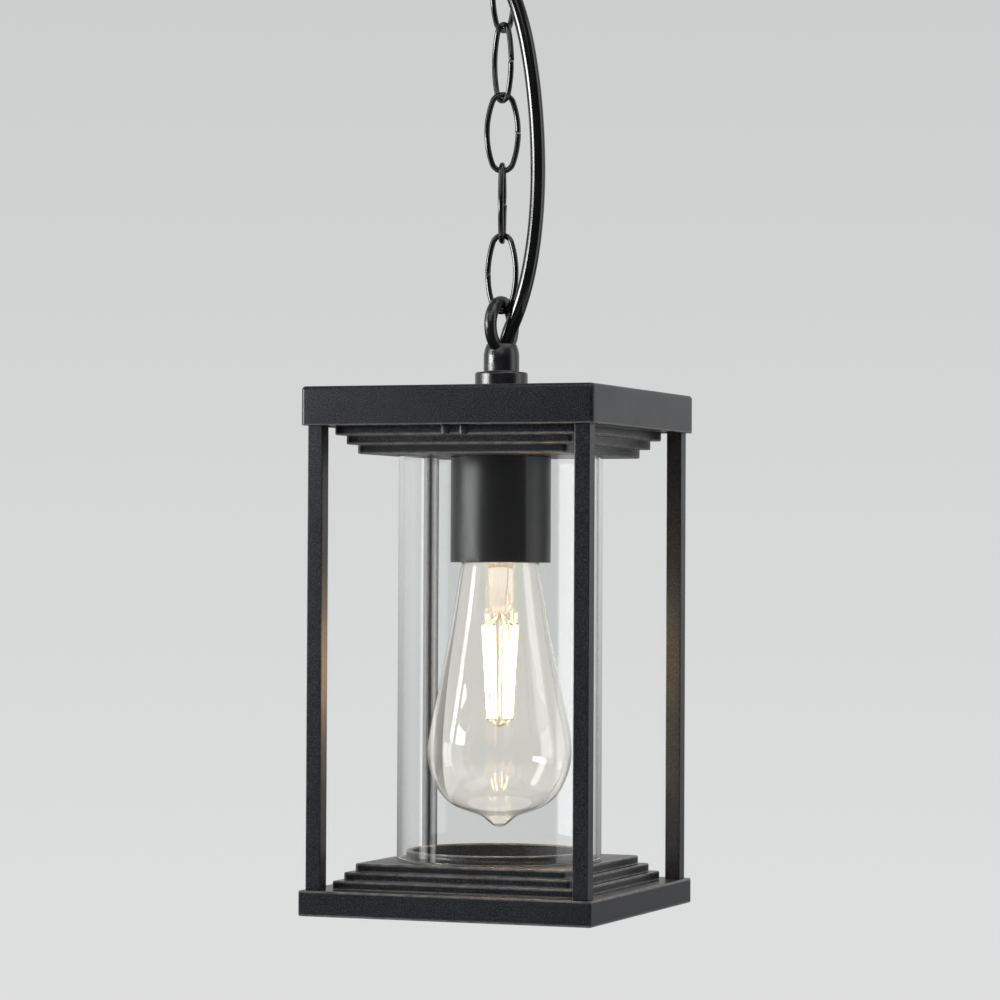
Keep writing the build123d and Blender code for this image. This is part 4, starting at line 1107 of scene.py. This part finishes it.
def floor():
    """Pale round floor that fades into the pale room."""
    mat, tree, shader = fresh("pale_floor")
    coords = tree.nodes.new("ShaderNodeTexCoord").outputs["Object"]
    length = tree.nodes.new("ShaderNodeVectorMath")
    length.operation = "LENGTH"
    tree.links.new(coords, length.inputs[0])
    fade = ranged(tree, length.outputs["Value"], 0.0, 1.0, FLOOR_SOLID, FLOOR_RADIUS)
    fade.node.interpolation_type = "SMOOTHSTEP"
    shader.inputs["Base Color"].default_value = (*FLOOR_TONE, 1.0)
    shader.inputs["Roughness"].default_value = FLOOR_ROUGHNESS
    clear = tree.nodes.new("ShaderNodeBsdfTransparent")
    mix = tree.nodes.new("ShaderNodeMixShader")
    tree.links.new(fade, mix.inputs[0])
    tree.links.new(shader.outputs["BSDF"], mix.inputs[1])
    tree.links.new(clear.outputs["BSDF"], mix.inputs[2])
    tree.links.new(mix.outputs["Shader"], tree.nodes["Material Output"].inputs["Surface"])
    points = []
    for k in range(FLOOR_SIDES):
        a = 2 * math.pi * k / FLOOR_SIDES
        points.append((FLOOR_RADIUS * math.cos(a), FLOOR_RADIUS * math.sin(a), 0.0))
    mesh = bpy.data.meshes.new("floor")
    mesh.from_pydata(points, [], [tuple(range(FLOOR_SIDES))])
    mesh.materials.append(mat)
    obj = bpy.data.objects.new("floor", mesh)
    obj.location.z = FLOOR_LEVEL
    scene.collection.objects.link(obj)


def room():
    """Plain world: an even fill light, a pale backdrop wherever it is seen, straight or through
    glass, and in reflections the same backdrop, darker below the horizon and much darker on the
    studio's open side, behind the camera."""
    world = bpy.data.worlds.new("room")
    scene.world = world
    world.use_nodes = True
    tree = world.node_tree
    light = tree.nodes["Background"]
    light.inputs["Color"].default_value = (*FILL_TONE, 1.0)
    light.inputs["Strength"].default_value = FILL_STRENGTH
    seen = tree.nodes.new("ShaderNodeBackground")
    coords = tree.nodes.new("ShaderNodeTexCoord").outputs["Generated"]
    parts = tree.nodes.new("ShaderNodeSeparateXYZ")
    tree.links.new(coords, parts.inputs[0])
    height = ranged(tree, parts.outputs["Z"], 0.0, 1.0, *HIGH_FADE)
    tone = mixed(tree, height, ROOM_TONE, HIGH_TONE)
    tree.links.new(tone, seen.inputs["Color"])
    front = tree.nodes.new("ShaderNodeVectorMath")
    front.operation = "DOT_PRODUCT"
    tree.links.new(coords, front.inputs[0])
    front.inputs[1].default_value = (math.sin(YAW), -math.cos(YAW), 0.0)
    dimmer = ranged(tree, front.outputs["Value"], 0.0, 1.0, *FRONT_FADE)
    horizon = ranged(tree, parts.outputs["Z"], 0.0, 1.0, *HORIZON_FADE)
    sides = mixed(tree, horizon, LOW_TONE, tone)
    reflected = tree.nodes.new("ShaderNodeBackground")
    tree.links.new(mixed(tree, dimmer, sides, DIM_TONE), reflected.inputs["Color"])
    path = tree.nodes.new("ShaderNodeLightPath")
    mirrored = maths(tree, "GREATER_THAN", path.outputs["Glossy Depth"], 0.5)
    straight = maths(tree, "ADD", path.outputs["Is Camera Ray"],
                     path.outputs["Is Transmission Ray"])
    straight.node.use_clamp = True
    undiffused = maths(tree, "SUBTRACT", 1.0, path.outputs["Is Diffuse Ray"])
    turned_back = maths(tree, "MULTIPLY", mirrored, undiffused)
    last = light.outputs[0]
    for share, background in ((straight, seen), (turned_back, reflected)):
        mix = tree.nodes.new("ShaderNodeMixShader")
        tree.links.new(share, mix.inputs[0])
        tree.links.new(last, mix.inputs[1])
        tree.links.new(background.outputs[0], mix.inputs[2])
        last = mix.outputs[0]
    tree.links.new(last, tree.nodes["World Output"].inputs["Surface"])


def softbox(name, place, aim, size, radiance):
    """White area lamp of a given radiance, turned to its aim."""
    data = bpy.data.lights.new(name, "AREA")
    data.shape = "RECTANGLE"
    data.size, data.size_y = size
    data.energy = math.pi * radiance * size[0] * size[1]
    lamp = bpy.data.objects.new(name, data)
    lamp.location = place
    lamp.visible_camera = False
    lamp.rotation_mode = "QUATERNION"
    lamp.rotation_quaternion = (Vector(aim) - Vector(place)).to_track_quat("-Z", "Y")
    scene.collection.objects.link(lamp)


def beside(turn, distance, height):
    """Place round the object, turn degrees to the right of the camera's own direction."""
    a = math.radians(turn) + YAW
    return Vector((math.sin(a), -math.cos(a), 0.0)) * distance + Vector((0.0, 0.0, height))


# Each lamp's name, turn, distance, height, level it is aimed at, size and radiance.
LAMPS = (
    ("left_box", -88.0, 1.3, -0.6, -0.6, (0.54, 0.7), 2.5),
    ("upper_left_box", -82.0, 1.3, 0.32, 0.32, (0.36, 1.0), 5.0),
    ("ring_box", -72.0, 1.2, -0.15, -0.23, (0.56, 0.18), 22.0),
    ("right_box", 82.0, 1.5, -0.15, -0.3, (0.8, 1.4), 1.1),
    ("overhead", 60.0, 0.6, 0.9, -0.3, (1.2, 1.2), 1.4),
    ("front_top", -15.0, 0.75, 0.32, -0.3, (0.9, 0.6), 1.0),
)
floor()
room()
for name, turn, distance, height, aim_level, size, radiance in LAMPS:
    softbox(name, beside(turn, distance, height), (0.0, 0.0, aim_level), size, radiance)

scene.view_settings.view_transform = "Standard"
scene.cycles.transparent_max_bounces = 24
scene.cycles.max_bounces = 20
scene.cycles.transmission_bounces = 18
